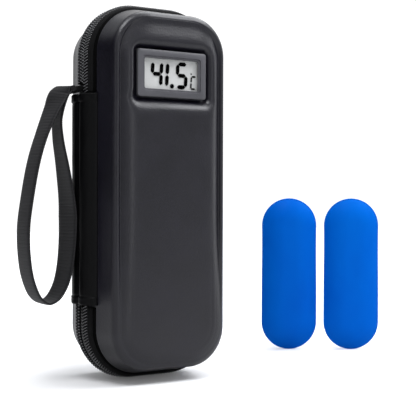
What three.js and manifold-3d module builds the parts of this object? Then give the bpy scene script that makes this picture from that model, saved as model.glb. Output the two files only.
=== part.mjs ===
// Insulin cooling case: a moulded clamshell closed by a zip, with a thermometer in its lid,
// a wrist strap beside its spine and two gel ice packs that stand next to it.
// Millimetres, +Z up. The lid faces -Y, the spine is on -X and the parting plane is y = 0.
// The origin is on the foot, in the middle of the width.

import * as THREE from 'three';
import { mergeVertices } from 'three/addons/utils/BufferGeometryUtils.js';
import Module from 'manifold-3d';

const wasm = await Module();
wasm.setup();

// Outline of the closed case, and how far each half reaches from the parting plane
const caseWidth = 95;
const caseHeight = 234.5;
const lidPanelDepth = 31.2;
const rearPanelDepth = 36.4;
const cornerWidthShare = 0.3737;
const shoulderWidthShare = 0.2516;
const cornerRadius = caseWidth * cornerWidthShare;
const shoulderRadius = caseWidth * shoulderWidthShare;
const panelCornerShare = 0.5;
const cornerSteps = 8;

// Clearances
const gap = 0.3;
const rimClearance = 0.42;
const cutOverrun = 2;

// Zip: each coil row, the tapes and the two ends of the chain at the spine
const coilHalfWidth = 3.4;
const coilThickness = 2.3;
const coilShoulder = 0.6;
const interlock = 0.65;
const tapeThickness = 0.9;
const lidTapeEdge = 8;
const lidTapeInset = 4.1;
const lidTapeStartInset = 1.6;
const rearTapeEdge = 9.5;
const zipBottomZ = 47.8;
const zipTopDrop = 51.7;
const zipTopZ = caseHeight - zipTopDrop;

// Moulded shells: insets are from the outline, depths from the parting plane
const shellWall = 3.2;
const floorRound = 6.4;
const rimThickness = 4.8;
const rimInset = coilThickness + rimClearance;
const lidJunctionDepth = 8.4;
const lidJunctionInset = 5.3;
const lidWaistDepth = 10.5;
const lidWaistInset = 5;
const lidShoulderInset = 8.65;
const lidShoulderSink = 6.7;
const lidShoulderDepth = lidPanelDepth - lidShoulderSink;
const lidRidgeInset = 10.9;
const lidRidgeSink = 3.2;
const lidRidgeDepth = lidPanelDepth - lidRidgeSink;
const lidGrooveInset = 12.6;
const lidGrooveSink = 3.8;
const lidGrooveDepth = lidPanelDepth - lidGrooveSink;
const lidPanelInset = 27;

const rearFlangeInset = tapeThickness + rimClearance;
const rearJunctionInset = 3.2;
const rearShoulderInset = 8.65;
const rearShoulderSink = 5.9;
const rearShoulderDepth = rearPanelDepth - rearShoulderSink;
const rearRidgeInset = 10.9;
const rearRidgeSink = 2.8;
const rearRidgeDepth = rearPanelDepth - rearRidgeSink;
const rearGrooveInset = 12.6;
const rearGrooveSink = 3.4;
const rearGrooveDepth = rearPanelDepth - rearGrooveSink;
const rearPanelInset = 27;

const liningThickness = 1;
const liningEdgeDepth = 1.2;

// Thermometer module, a standard panel size, and its seat in the lid
const moduleWidth = 48;
const moduleHeight = 28.6;
const moduleDepth = 15.2;
const moduleDrop = 45.9;
const moduleCentreZ = caseHeight - moduleDrop;
const bezelSink = 2.3;
const bezelFaceDepth = lidPanelDepth - bezelSink;
const bezelThickness = 2;
const bezelCorner = 1.6;
const bezelLap = 1.2;
const moduleBodyWidth = moduleWidth - 2 * bezelLap;
const moduleBodyHeight = moduleHeight - 2 * bezelLap;
const moduleWall = 1.3;
const roomWidth = moduleBodyWidth - 2 * moduleWall;
const roomHeight = moduleBodyHeight - 2 * moduleWall;
const windowMargin = 4;
const windowWidth = moduleWidth - 2 * windowMargin;
const windowHeight = moduleHeight - 2 * windowMargin;
const windowCorner = 1.2;
const windowLedgeDepth = 1.1;
const windowLedge = 1.1;
const displayWidth = windowWidth - 2 * windowLedge;
const displayHeight = windowHeight - 2 * windowLedge;
const recessMargin = 3.3;
const recessCorner = 4;

const lensWidth = roomWidth - 2 * gap;
const lensHeight = roomHeight - 2 * gap;
const lensThickness = 0.8;
const lcdClearance = 0.8;
const lcdWidth = roomWidth - 2 * lcdClearance;
const lcdHeight = roomHeight - 2 * lcdClearance;
const lcdThickness = 1.8;
const connectorWidthShare = 0.8;
const connectorLength = roomWidth * connectorWidthShare;
const connectorHeight = 2.4;
const connectorThickness = 1.8;
const boardClearance = 0.5;
const boardWidth = roomWidth - 2 * boardClearance;
const boardHeight = roomHeight - 2 * boardClearance;
const boardThickness = 1;
const chipSize = 8;
const chipThickness = 1.1;
const chipOffset = 10;
const contactSize = 9;
const contactThickness = 0.4;
const cellRadius = 5.8;
const cellHeight = 5.4;
const cellStep = 0.4;
const cellStepRadius = 5;
const cellSpace = 1.2;
const cellPitch = 2 * cellRadius + cellSpace;
const cellSides = 24;
const backThickness = 1.2;
const cellWindowMargin = 0.8;
const cellWindowWidth = cellPitch + 2 * (cellRadius + cellWindowMargin);
const cellWindowHeight = 2 * (cellRadius + cellWindowMargin);

const doorLap = 1.6;
const doorWidth = cellWindowWidth + 2 * doorLap;
const doorHeight = cellWindowHeight + 2 * doorLap;
const doorThickness = 1.2;
const doorGripHeight = 1;
const doorGripLength = 12;
const doorGripWidth = 1.6;
const doorCorner = 1.2;
const railWidth = 1.4;
const railLip = 1;
const railLipThickness = 0.8;

const probeRadius = 2.6;
const probeNeckRadius = 1.3;
const probeNeckLength = 5;
const probeLength = 19;
const probeSides = 14;
const probeSink = 13;
const probeDepth = lidPanelDepth - probeSink;

// Sleeve for an ice pack inside the lid
const sleeveSideSpace = 17.5;
const sleeveWidth = caseWidth - 2 * sleeveSideSpace;
const sleeveBottomZ = 33;
const sleeveTopDrop = 104.5;
const sleeveTopZ = caseHeight - sleeveTopDrop;
const sleeveBulge = 12.6;
const sleeveThickness = 1;
const sleeveBindingHeight = 5;
const sleeveBindingExtra = 0.7;

// Pen board and its two elastic bands inside the rear half
const penBoardSideSpace = 17;
const penBoardEndSpace = 20.8;
const penBoardWidth = caseWidth - 2 * penBoardSideSpace;
const penBoardHeight = caseHeight - 2 * penBoardEndSpace;
const penBoardThickness = 2.4;
const penBoardCorner = 16;
const penLoopHeight = 15;
const penLoopCount = 3;
const penFootWidth = 2.2;
const penBandSpan = penBoardWidth - penFootWidth;
const penLoopWidth = (penBandSpan - penFootWidth) / penLoopCount - penFootWidth;
const bandThickness = 1.2;
const bandHeight = 26;
const lowerBandHeightShare = 0.303;
const upperBandHeightShare = 0.665;
const lowerBandZ = caseHeight * lowerBandHeightShare;
const upperBandZ = caseHeight * upperBandHeightShare;
const loopSteps = 10;

// Leather cover over the spine
const spineBottomZ = 48.3;
const spineTopDrop = 57.2;
const spineTopZ = caseHeight - spineTopDrop;
const spineThickness = 1.2;
const spineHemHeight = 5;
const spineHemExtra = 0.5;
const spineProud = 2.2;
const spineCreaseProud = 1.1;
const spineFrontReach = 11.5;
const spineRearReach = 15.5;
const spineFrontInset = 3.5;
const spineRearInset = 2.6;

// Wrist strap: a loop of webbing that hangs from a tab above the spine cover
const strapWidth = 20;
const strapThickness = 1.6;
const strapFrontY = 0.8;
const strapReach = 28.2;
const strapHeightShare = 0.5565;
const strapDrop = caseHeight * strapHeightShare;
const strapBarrelRadius = 1.75;
const strapAnchorDrop = 54.7;
const strapAnchorZ = caseHeight - strapAnchorDrop;
const strapTabProud = 2.4;
const strapTabClearance = 0.6;
const strapSteps = 64;
const barrelSides = 14;
const strapLayerGap = 0.2;

// Two sliders that meet nose to nose on the +X side, and their pulls
const sliderHeightShare = 0.5474;
const sliderMeetZ = caseHeight * sliderHeightShare;
const sliderGap = 0.6;
const sliderLength = 15;
const sliderWidth = 9.4;
const sliderPlate = 1.8;
const sliderCorner = 2.6;
const bridgeWidth = 3;
const bridgeBar = 1.2;
const bridgeOpening = 2.5;
const bridgeHalfLength = 3.2;
const bridgeOffset = 3;
const pullThickness = 1.4;
const pullWidth = 7.6;
const pullEyeWidth = 4.4;
const pullEyeLength = 4.4;
const pullBarRadius = 0.8;
const pullLength = 16;
const pullCorner = 2.2;
const pullTipHoleRadius = 1.1;
const roundSides = 16;

// Gel ice packs
const packWidth = 41.2;
const packHeight = 113.5;
const packThickness = 12;
const packSteps = 12;
const packTurn = THREE.MathUtils.degToRad(-32.3);
const nearPackPlace = { x: 186.3, y: 23.2 };
const farPackPlace = { x: 146.9, y: 48.2 };

const halfWidth = caseWidth / 2;

function finish(geometry) {
  geometry.computeVertexNormals();
  return geometry;
}

function signedVolume(positions, indices) {
  let sum = 0;
  const [a, b, c] = [new THREE.Vector3(), new THREE.Vector3(), new THREE.Vector3()];
  for (let i = 0; i < indices.length; i += 3) {
    a.fromArray(positions, indices[i] * 3);
    b.fromArray(positions, indices[i + 1] * 3);
    c.fromArray(positions, indices[i + 2] * 3);
    sum += a.dot(b.cross(c));
  }
  return sum;
}

// A closed solid from a row of rings with equal counts of [x, y, z] points and flat end caps.
// flatten gives the two coordinates in which an end ring is triangulated.
function solidFromRings(rings, flatten) {
  const count = rings[0].length;
  const positions = rings.flat(2);
  const indices = [];
  for (let r = 0; r + 1 < rings.length; r += 1) {
    for (let i = 0; i < count; i += 1) {
      const j = (i + 1) % count;
      const [a, b] = [r * count + i, r * count + j];
      const [c, d] = [a + count, b + count];
      indices.push(a, b, d, a, d, c);
    }
  }
  for (const ring of [0, rings.length - 1]) {
    const flat = rings[ring].map(point => new THREE.Vector2(...flatten(point)));
    const ringTurns = THREE.ShapeUtils.isClockWise(flat);
    for (const face of THREE.ShapeUtils.triangulateShape(flat, [])) {
      const followsRing = THREE.ShapeUtils.isClockWise(face.map(i => flat[i])) === ringTurns;
      if (followsRing !== ring > 0) face.reverse();
      indices.push(...face.map(i => ring * count + i));
    }
  }
  if (signedVolume(positions, indices) < 0) indices.reverse();
  const geometry = new THREE.BufferGeometry();
  geometry.setAttribute('position', new THREE.Float32BufferAttribute(positions, 3));
  geometry.setIndex(indices);
  return geometry;
}

const flattenXZ = ([x, , z]) => [x, z];
const flattenXY = ([x, y]) => [x, y];

function toManifold(geometry) {
  const bare = geometry.clone();
  bare.deleteAttribute('normal');
  bare.deleteAttribute('uv');
  const merged = mergeVertices(bare);
  return new wasm.Manifold(new wasm.Mesh({
    numProp: 3,
    vertProperties: new Float32Array(merged.attributes.position.array),
    triVerts: new Uint32Array(merged.index.array),
  }));
}

function fromManifold(solid) {
  const mesh = solid.getMesh();
  const geometry = new THREE.BufferGeometry();
  geometry.setAttribute('position', new THREE.BufferAttribute(mesh.vertProperties, mesh.numProp));
  geometry.setIndex(new THREE.BufferAttribute(mesh.triVerts, 1));
  return geometry;
}

function subtract(geometry, ...tools) {
  return fromManifold(tools.reduce((solid, tool) => solid.subtract(toManifold(tool)), toManifold(geometry)));
}

function unite(geometry, ...others) {
  return fromManifold(others.reduce((solid, other) => solid.add(toManifold(other)), toManifold(geometry)));
}

function roundedRectangle(width, height, radius) {
  const shape = new THREE.Shape();
  const [x, y] = [width / 2, height / 2];
  shape.moveTo(-x + radius, -y);
  shape.lineTo(x - radius, -y);
  shape.absarc(x - radius, -y + radius, radius, -Math.PI / 2, 0);
  shape.lineTo(x, y - radius);
  shape.absarc(x - radius, y - radius, radius, 0, Math.PI / 2);
  shape.lineTo(-x + radius, y);
  shape.absarc(-x + radius, y - radius, radius, Math.PI / 2, Math.PI);
  shape.lineTo(-x, -y + radius);
  shape.absarc(-x + radius, -y + radius, radius, Math.PI, Math.PI * 3 / 2);
  return shape;
}

// A flat slab that faces along Y, from yLow to yHigh, with its outline given in X and Z.
function slabAlongY(shape, yLow, yHigh, curveSegments = 4) {
  const geometry = new THREE.ExtrudeGeometry(shape, {
    depth: yHigh - yLow,
    bevelEnabled: false,
    curveSegments,
  });
  geometry.rotateX(Math.PI / 2);
  geometry.translate(0, yHigh, 0);
  return geometry;
}

function roundedSlab(width, height, radius, yLow, yHigh) {
  return slabAlongY(roundedRectangle(width, height, radius), yLow, yHigh);
}

function box(width, depth, height, x, y, z) {
  return new THREE.BoxGeometry(width, depth, height).translate(x, y, z);
}

// Corner radius of the outline at an inset: it tightens quickly down to the shoulder.
function radiusAt(inset) {
  const beyond = inset - lidShoulderInset;
  if (beyond > 0) return shoulderRadius - beyond * panelCornerShare;
  return cornerRadius + (shoulderRadius - cornerRadius) * inset / lidShoulderInset;
}

// Points round the outline at an inset, as [x, z]: four corners of equal steps, starting at
// the foot of the spine side and going by the foot, the +X side and the top.
function outlinePoint(index, inset) {
  const corner = Math.floor(index / (cornerSteps + 1));
  const step = index % (cornerSteps + 1);
  const radius = radiusAt(inset);
  const angle = Math.PI + (corner + step / cornerSteps) * Math.PI / 2;
  const sideX = [-1, 1, 1, -1][corner];
  const centreX = sideX * (halfWidth - inset - radius);
  const centreZ = corner < 2 ? inset + radius : caseHeight - inset - radius;
  return [centreX + radius * Math.cos(angle), centreZ + radius * Math.sin(angle)];
}

const outlineCount = 4 * (cornerSteps + 1);

function outlineRing(inset, y) {
  return Array.from({ length: outlineCount }, (_, index) => {
    const [x, z] = outlinePoint(index, inset);
    return [x, y, z];
  });
}

// A tray from a profile of [inset, depth] pairs; side is -1 for the lid and 1 for the rear.
function tray(profile, side) {
  return solidFromRings(profile.map(([inset, depth]) => outlineRing(inset, side * depth)), flattenXZ);
}

// A strip that runs round the outline from the bottom of the spine to its top.
function perimeterStrip(section, side) {
  const place = (index, inset) => {
    if (index < 0) return [-halfWidth + inset, zipBottomZ];
    if (index >= outlineCount) return [-halfWidth + inset, zipTopZ];
    return outlinePoint(index, inset);
  };
  const rings = [];
  for (let index = -1; index <= outlineCount; index += 1) {
    rings.push(section.map(([inset, depth]) => {
      const [x, z] = place(index, inset);
      return [x, side * depth, z];
    }));
  }
  return solidFromRings(rings, flattenXY);
}

function between(from, to, shares) {
  return shares.map(([insetShare, depthShare]) => [
    from[0] + (to[0] - from[0]) * insetShare,
    from[1] + (to[1] - from[1]) * depthShare,
  ]);
}

const wallShares = [[0.2, 0.32], [0.55, 0.68]];
const shoulderShares = [[0.22, 0.5], [0.55, 0.82]];
const panelRollShares = [[0.08, 0.28], [0.2, 0.62], [0.42, 0.86]];
const hollowShares = [[0.3, 0.62], [0.6, 0.9]];
const ringCentreShare = 0.76;

// Outer skin of a shell from its junction with the zip tape to the crown of its panel
function outerSkin(junction, shoulder, ridge, groove, panel) {
  const crown = [halfWidth * ringCentreShare, panel[1]];
  return [
    junction,
    ...between(junction, shoulder, wallShares),
    shoulder,
    ...between(shoulder, ridge, shoulderShares),
    ridge,
    groove,
    ...between(groove, panel, panelRollShares),
    panel,
    crown,
  ];
}

const rimInnerInset = rimInset + rimThickness;
const lidFloorDepth = lidGrooveDepth - shellWall;
const rearFloorDepth = rearGrooveDepth - shellWall;

// Hollow of a shell, from the middle of its floor to the inner edge of its rim
function hollow(extra, floorDepth, shoulderDepth, shoulderInset, edgeDepth) {
  const low = [shoulderInset + shellWall + extra, shoulderDepth - shellWall - extra];
  const floor = [shoulderInset + floorRound + extra, floorDepth - extra];
  return [
    [halfWidth * ringCentreShare, floor[1]],
    floor,
    ...between(low, floor, hollowShares).reverse(),
    low,
    [rimInnerInset + extra, edgeDepth],
  ];
}

const lidHollow = hollow(0, lidFloorDepth, lidShoulderDepth, lidShoulderInset, gap);
const rearHollow = hollow(0, rearFloorDepth, rearShoulderDepth, rearShoulderInset, gap);

const recessFloorDepth = bezelFaceDepth - bezelThickness - gap;

function lidShell() {
  const skin = outerSkin(
    [lidWaistInset, lidWaistDepth],
    [lidShoulderInset, lidShoulderDepth],
    [lidRidgeInset, lidRidgeDepth],
    [lidGrooveInset, lidGrooveDepth],
    [lidPanelInset, lidPanelDepth],
  );
  const rim = [
    [rimInset, gap],
    [rimInset, coilHalfWidth - gap],
    [lidJunctionInset, lidJunctionDepth],
  ];
  const shell = tray([...lidHollow, ...rim, ...skin], -1);
  const recess = roundedSlab(
    moduleWidth + 2 * recessMargin,
    moduleHeight + 2 * recessMargin,
    recessCorner,
    -lidPanelDepth - cutOverrun,
    -recessFloorDepth,
  ).translate(0, 0, moduleCentreZ);
  return subtract(shell, recess, moduleCut(-recessFloorDepth - cutOverrun));
}

// Hole for the module's body through the lid and its lining
function moduleCut(yLow) {
  return box(
    moduleBodyWidth + 2 * gap,
    -yLow,
    moduleBodyHeight + 2 * gap,
    0,
    yLow / 2,
    moduleCentreZ,
  );
}

function rearShell() {
  const skin = outerSkin(
    [rearJunctionInset, rearTapeEdge + gap],
    [rearShoulderInset, rearShoulderDepth],
    [rearRidgeInset, rearRidgeDepth],
    [rearGrooveInset, rearGrooveDepth],
    [rearPanelInset, rearPanelDepth],
  );
  const rim = [
    [rimInset, gap],
    [rimInset, coilHalfWidth + gap],
    [rearFlangeInset, coilHalfWidth + 3 * gap],
    [rearFlangeInset, rearTapeEdge],
  ];
  return tray([...rearHollow, ...rim, ...skin], 1);
}

function liningProfile(floorDepth, shoulderDepth, shoulderInset) {
  const inner = hollow(gap + liningThickness, floorDepth, shoulderDepth, shoulderInset, liningEdgeDepth);
  const outer = hollow(gap, floorDepth, shoulderDepth, shoulderInset, liningEdgeDepth);
  return [...inner, ...outer.reverse()];
}

function lidLining() {
  const lining = tray(liningProfile(lidFloorDepth, lidShoulderDepth, lidShoulderInset), -1);
  return subtract(lining, moduleCut(-lidFloorDepth));
}

function rearLining() {
  return tray(liningProfile(rearFloorDepth, rearShoulderDepth, rearShoulderInset), 1);
}

function lidTape() {
  return perimeterStrip([
    [lidTapeStartInset, coilHalfWidth + gap],
    [lidTapeInset, lidTapeEdge],
    [lidTapeInset + tapeThickness, lidTapeEdge],
    [lidTapeStartInset + tapeThickness, coilHalfWidth + gap],
  ], -1);
}

function rearTape() {
  return perimeterStrip([
    [0, coilHalfWidth + gap],
    [0, rearTapeEdge],
    [tapeThickness, rearTapeEdge],
    [tapeThickness, coilHalfWidth + gap],
  ], 1);
}

function lidCoil() {
  return perimeterStrip([
    [0, interlock + gap / 2],
    [0, coilHalfWidth - coilShoulder],
    [coilShoulder, coilHalfWidth],
    [coilThickness, coilHalfWidth],
    [coilThickness, interlock + gap / 2],
  ], -1);
}

function rearCoil() {
  return perimeterStrip([
    [0, -interlock + gap / 2],
    [0, coilHalfWidth],
    [coilThickness, coilHalfWidth],
    [coilThickness, -interlock + gap / 2],
  ], 1);
}

// Cover section as [inset, y]: two soft lobes with a crease on the hinge line
function spineSection(extra) {
  const lobeShares = [0.5, 0.12];
  const outer = [
    [spineFrontInset, -spineFrontReach],
    [spineFrontInset * lobeShares[1], -spineFrontReach + spineFrontInset],
    [-spineProud * lobeShares[0], -spineFrontReach * lobeShares[0]],
    [-spineProud * (1 - lobeShares[1]), -spineFrontReach * lobeShares[0] / 2],
    [-spineCreaseProud, 0],
    [-spineProud, spineRearReach / 4],
    [-spineProud, spineRearReach * lobeShares[0]],
    [-spineProud * lobeShares[0], spineRearReach - spineRearInset - spineProud],
    [spineRearInset, spineRearReach],
  ];
  const inner = outer.map(([inset, y]) => [inset + spineThickness, y]);
  return [...outer.map(([inset, y]) => [inset - extra, y]), ...inner.reverse()];
}

function spineCover() {
  const levels = [
    [spineBottomZ, spineHemExtra],
    [spineBottomZ + spineHemHeight, spineHemExtra],
    [spineBottomZ + spineHemHeight + gap, 0],
    [spineTopZ - spineHemHeight - gap, 0],
    [spineTopZ - spineHemHeight, spineHemExtra],
    [spineTopZ, spineHemExtra],
  ];
  const rings = levels.map(([z, extra]) => spineSection(extra).map(([inset, y]) => [
    -halfWidth + inset, y, z,
  ]));
  return solidFromRings(rings, flattenXY);
}

const strapMiddleY = strapFrontY + strapWidth / 2;
const strapTabEndX = -halfWidth - strapTabProud;
const strapAnchorX = strapTabEndX - strapTabClearance - strapBarrelRadius;

function strapTab() {
  const startX = -halfWidth + rearFlangeInset - gap;
  const length = startX - strapTabEndX;
  return box(length, strapWidth, 2 * strapThickness, startX - length / 2, strapMiddleY, strapAnchorZ);
}

// Middle line of the webbing from the upper layer at the tab, round the loop, to the lower
// layer, as shares of the loop's reach and drop.
const strapPathShares = [
  [0.08, 0.016], [0.19, -0.006], [0.32, -0.07], [0.515, -0.172], [0.75, -0.325],
  [0.945, -0.545], [1, -0.65], [0.985, -0.775], [0.895, -0.89], [0.72, -0.972],
  [0.53, -1], [0.34, -0.985], [0.16, -0.93], [0.045, -0.85], [-0.03, -0.685],
  [-0.02, -0.54], [0.09, -0.37], [0.2, -0.233], [0.22, -0.156], [0.145, -0.067],
  [0.07, -0.024],
];

function wristStrap() {
  const layer = (strapThickness + strapLayerGap) / 2;
  const points = [
    new THREE.Vector3(strapAnchorX, 0, strapAnchorZ + layer),
    ...strapPathShares.map(([reachShare, dropShare]) => new THREE.Vector3(
      strapAnchorX - reachShare * strapReach,
      0,
      strapAnchorZ + dropShare * strapDrop,
    )),
    new THREE.Vector3(strapAnchorX, 0, strapAnchorZ - layer),
  ];
  const curve = new THREE.CatmullRomCurve3(points, false, 'centripetal');
  const rings = [];
  for (let step = 0; step <= strapSteps; step += 1) {
    const at = curve.getPointAt(step / strapSteps);
    const along = curve.getTangentAt(step / strapSteps);
    const side = new THREE.Vector3(-along.z, 0, along.x).multiplyScalar(strapThickness / 2);
    const [a, b] = [at.clone().add(side), at.clone().sub(side)];
    const [front, rear] = [strapFrontY, strapFrontY + strapWidth];
    rings.push([[a.x, front, a.z], [a.x, rear, a.z], [b.x, rear, b.z], [b.x, front, b.z]]);
  }
  const loop = solidFromRings(rings, ([, y, z]) => [y, z]);
  const barrel = new THREE.CylinderGeometry(strapBarrelRadius, strapBarrelRadius, strapWidth, barrelSides)
    .translate(strapAnchorX, strapMiddleY, strapAnchorZ);
  return unite(loop, barrel);
}

const penBoardY = rearFloorDepth - liningThickness - 2 * gap;
const penBoardFaceY = penBoardY - penBoardThickness;

function penBoard() {
  return roundedSlab(penBoardWidth, penBoardHeight, penBoardCorner, penBoardFaceY, penBoardY)
    .translate(0, 0, caseHeight / 2);
}

// Elastic band: flat feet on the board and a loop between each two of them
function penBand(centreZ) {
  const base = penBoardFaceY - gap;
  const pitch = penLoopWidth + penFootWidth;
  const line = offset => {
    const points = [new THREE.Vector2(-penBandSpan / 2, base - offset)];
    for (let loop = 0; loop < penLoopCount; loop += 1) {
      const centreX = -penBandSpan / 2 + penFootWidth + penLoopWidth / 2 + loop * pitch;
      const [across, height] = [penLoopWidth / 2 - bandThickness + offset, penLoopHeight - bandThickness + offset];
      for (let step = 0; step <= loopSteps; step += 1) {
        const angle = Math.PI * step / loopSteps;
        const rise = offset + (height - offset) * Math.sin(angle) ** (1 / 2);
        points.push(new THREE.Vector2(centreX - across * Math.cos(angle), base - rise));
      }
    }
    points.push(new THREE.Vector2(penBandSpan / 2, base - offset));
    return points;
  };
  const shape = new THREE.Shape([...line(0), ...line(bandThickness).reverse()]);
  return new THREE.ExtrudeGeometry(shape, { depth: bandHeight, bevelEnabled: false })
    .translate(0, 0, centreZ - bandHeight / 2);
}

// Sleeve section as [x, rise]: rise is the share of the bulge at that place across the width
const sleeveAcrossShares = [
  [-1, 0], [-0.94, 0.3], [-0.86, 0.68], [-0.74, 0.9], [-0.5, 1],
  [0.5, 1], [0.74, 0.9], [0.86, 0.68], [0.94, 0.3], [1, 0],
];
const sleeveUpShares = [[0, 0.04], [0.05, 0.5], [0.12, 0.85], [0.22, 1], [1, 1]];
const sleeveSeatDepth = lidFloorDepth - liningThickness - 2 * gap;

function sleeveRing(z, bulgeShare, extra) {
  const at = (xShare, rise, lift) => [
    xShare * sleeveWidth / 2,
    -sleeveSeatDepth + lift + rise * bulgeShare * sleeveBulge,
    z,
  ];
  const near = sleeveAcrossShares.map(([xShare, rise]) => at(xShare, rise, 0));
  const far = sleeveAcrossShares.map(([xShare, rise]) => at(xShare, rise, sleeveThickness + extra));
  return [...near, ...far.reverse()];
}

function packSleeve() {
  const height = sleeveTopZ - sleeveBottomZ;
  const rings = sleeveUpShares.map(([up, bulge]) => sleeveRing(sleeveBottomZ + up * height, bulge, 0));
  return solidFromRings(rings, flattenXY);
}

function sleeveBinding() {
  const low = sleeveTopZ + gap;
  const rings = [low, low + sleeveBindingHeight].map(z => sleeveRing(z, 1, sleeveBindingExtra));
  return solidFromRings(rings, flattenXY);
}

// Depths of the module's layers behind the bezel's face, each one gap behind the last
const bezelBackDepth = bezelFaceDepth - bezelThickness;
const lensFaceDepth = bezelBackDepth - gap;
const lcdFaceDepth = lensFaceDepth - lensThickness - gap;
const connectorFaceDepth = lcdFaceDepth - lcdThickness - gap;
const boardFaceDepth = connectorFaceDepth - connectorThickness - gap;
const contactFaceDepth = boardFaceDepth - boardThickness - gap;
const cellFaceDepth = contactFaceDepth - contactThickness - gap;
const moduleBackDepth = bezelFaceDepth - moduleDepth;
const doorFaceDepth = moduleBackDepth - gap;

function moduleSlab(width, height, radius, faceDepth, thickness) {
  return roundedSlab(width, height, radius, -faceDepth, -faceDepth + thickness)
    .translate(0, 0, moduleCentreZ);
}

function moduleBlock(width, height, faceDepth, thickness, x = 0, z = 0) {
  return box(width, thickness, height, x, -faceDepth + thickness / 2, moduleCentreZ + z);
}

const backFaceDepth = moduleBackDepth + backThickness;

function displayHousing() {
  const flange = moduleSlab(moduleWidth, moduleHeight, bezelCorner, bezelFaceDepth, bezelThickness);
  const bodyDepth = bezelBackDepth - backFaceDepth - gap;
  const body = moduleBlock(moduleBodyWidth, moduleBodyHeight, bezelBackDepth, bodyDepth);
  const room = moduleBlock(
    moduleBodyWidth - 2 * moduleWall,
    moduleBodyHeight - 2 * moduleWall,
    bezelBackDepth,
    bodyDepth + cutOverrun,
  );
  const front = moduleSlab(
    windowWidth,
    windowHeight,
    windowCorner,
    bezelFaceDepth + cutOverrun,
    windowLedgeDepth + cutOverrun,
  );
  const through = moduleSlab(displayWidth, displayHeight, windowCorner, bezelFaceDepth, bezelThickness + cutOverrun);
  return subtract(unite(flange, body), room, front, through);
}

function housingBack() {
  const plate = moduleBlock(moduleBodyWidth, moduleBodyHeight, backFaceDepth, backThickness);
  const railX = doorWidth / 2 + gap + railWidth / 2;
  const railDepth = doorThickness + 2 * gap + railLipThickness;
  const rails = [-1, 1].flatMap(side => [
    moduleBlock(railWidth, moduleBodyHeight, moduleBackDepth + gap, railDepth + gap, side * railX),
    moduleBlock(
      railWidth + railLip,
      moduleBodyHeight,
      moduleBackDepth - doorThickness - 2 * gap,
      railLipThickness,
      side * (railX - railLip / 2),
    ),
  ]);
  const cellWindow = moduleBlock(
    cellWindowWidth,
    cellWindowHeight,
    backFaceDepth + cutOverrun,
    backThickness + 2 * cutOverrun,
  );
  return subtract(unite(plate, ...rails), cellWindow);
}

function batteryDoor() {
  const plate = moduleSlab(doorWidth, doorHeight, doorCorner, doorFaceDepth, doorThickness);
  const grip = moduleBlock(doorGripLength, doorGripWidth, doorFaceDepth - doorThickness + gap, doorGripHeight + gap);
  return unite(plate, grip);
}

function displayLens() {
  return moduleSlab(lensWidth, lensHeight, windowCorner, lensFaceDepth, lensThickness);
}

function lcdPanel() {
  return moduleBlock(lcdWidth, lcdHeight, lcdFaceDepth, lcdThickness);
}

function rubberConnector() {
  const z = (lcdHeight - connectorHeight) / 2;
  return moduleBlock(connectorLength, connectorHeight, connectorFaceDepth, connectorThickness, 0, z);
}

function circuitBoard() {
  return moduleBlock(boardWidth, boardHeight, boardFaceDepth, boardThickness);
}

function driverChip() {
  return moduleBlock(chipSize, chipSize, boardFaceDepth + gap + chipThickness, chipThickness, chipOffset);
}

function cellContact(side) {
  return moduleBlock(contactSize, contactSize, contactFaceDepth, contactThickness, side * cellPitch / 2);
}

// Button cell with the smaller negative cap towards the board
function buttonCell(side) {
  const profile = [
    [0, 0], [cellStepRadius, 0], [cellStepRadius, cellStep], [cellRadius, cellStep],
    [cellRadius, cellHeight], [0, cellHeight],
  ].map(([radius, height]) => new THREE.Vector2(radius, height));
  return new THREE.LatheGeometry(profile, cellSides)
    .translate(side * cellPitch / 2, -cellFaceDepth, moduleCentreZ);
}

function temperatureProbe() {
  const top = moduleCentreZ - moduleBodyHeight / 2 - gap;
  const shoulder = top - probeNeckLength;
  const bottom = shoulder - probeLength;
  const tip = probeRadius / 2;
  const profile = [
    [0, bottom], [probeRadius / 2, bottom + tip / 4], [probeRadius, bottom + tip],
    [probeRadius, shoulder - tip], [probeNeckRadius, shoulder], [probeNeckRadius, top], [0, top],
  ].map(([radius, height]) => new THREE.Vector2(radius, height));
  return new THREE.LatheGeometry(profile, probeSides).rotateX(Math.PI / 2).translate(0, -probeDepth, 0);
}

const sliderBaseX = halfWidth + gap;
const bridgeAxisX = sliderBaseX + sliderPlate + bridgeOpening / 2;

// Slider centred on z = 0; end is 1 when its pull hangs from its upper half
function sliderBody(end) {
  const plate = new THREE.ExtrudeGeometry(roundedRectangle(sliderWidth, sliderLength, sliderCorner), {
    depth: sliderPlate,
    bevelEnabled: false,
    curveSegments: 3,
  }).rotateX(Math.PI / 2).rotateZ(Math.PI / 2).translate(sliderBaseX, 0, 0);
  const base = sliderBaseX + sliderPlate;
  const top = base + bridgeOpening + bridgeBar;
  const arch = (reach, halfLength, foot) => [
    [foot, -halfLength], [base + (reach - base) / 2, -halfLength], [reach, -halfLength / 2],
    [reach, halfLength / 2], [base + (reach - base) / 2, halfLength], [foot, halfLength],
  ].map(([x, z]) => new THREE.Vector2(x, z + end * bridgeOffset));
  const outline = new THREE.Shape(arch(top, bridgeHalfLength, base - gap));
  const opening = new THREE.Shape(arch(top - bridgeBar, bridgeHalfLength - bridgeBar, base));
  const bridge = slabAlongY(outline, -bridgeWidth / 2, bridgeWidth / 2);
  const hole = slabAlongY(opening, -bridgeWidth, bridgeWidth);
  return unite(plate, subtract(bridge, hole));
}

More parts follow.
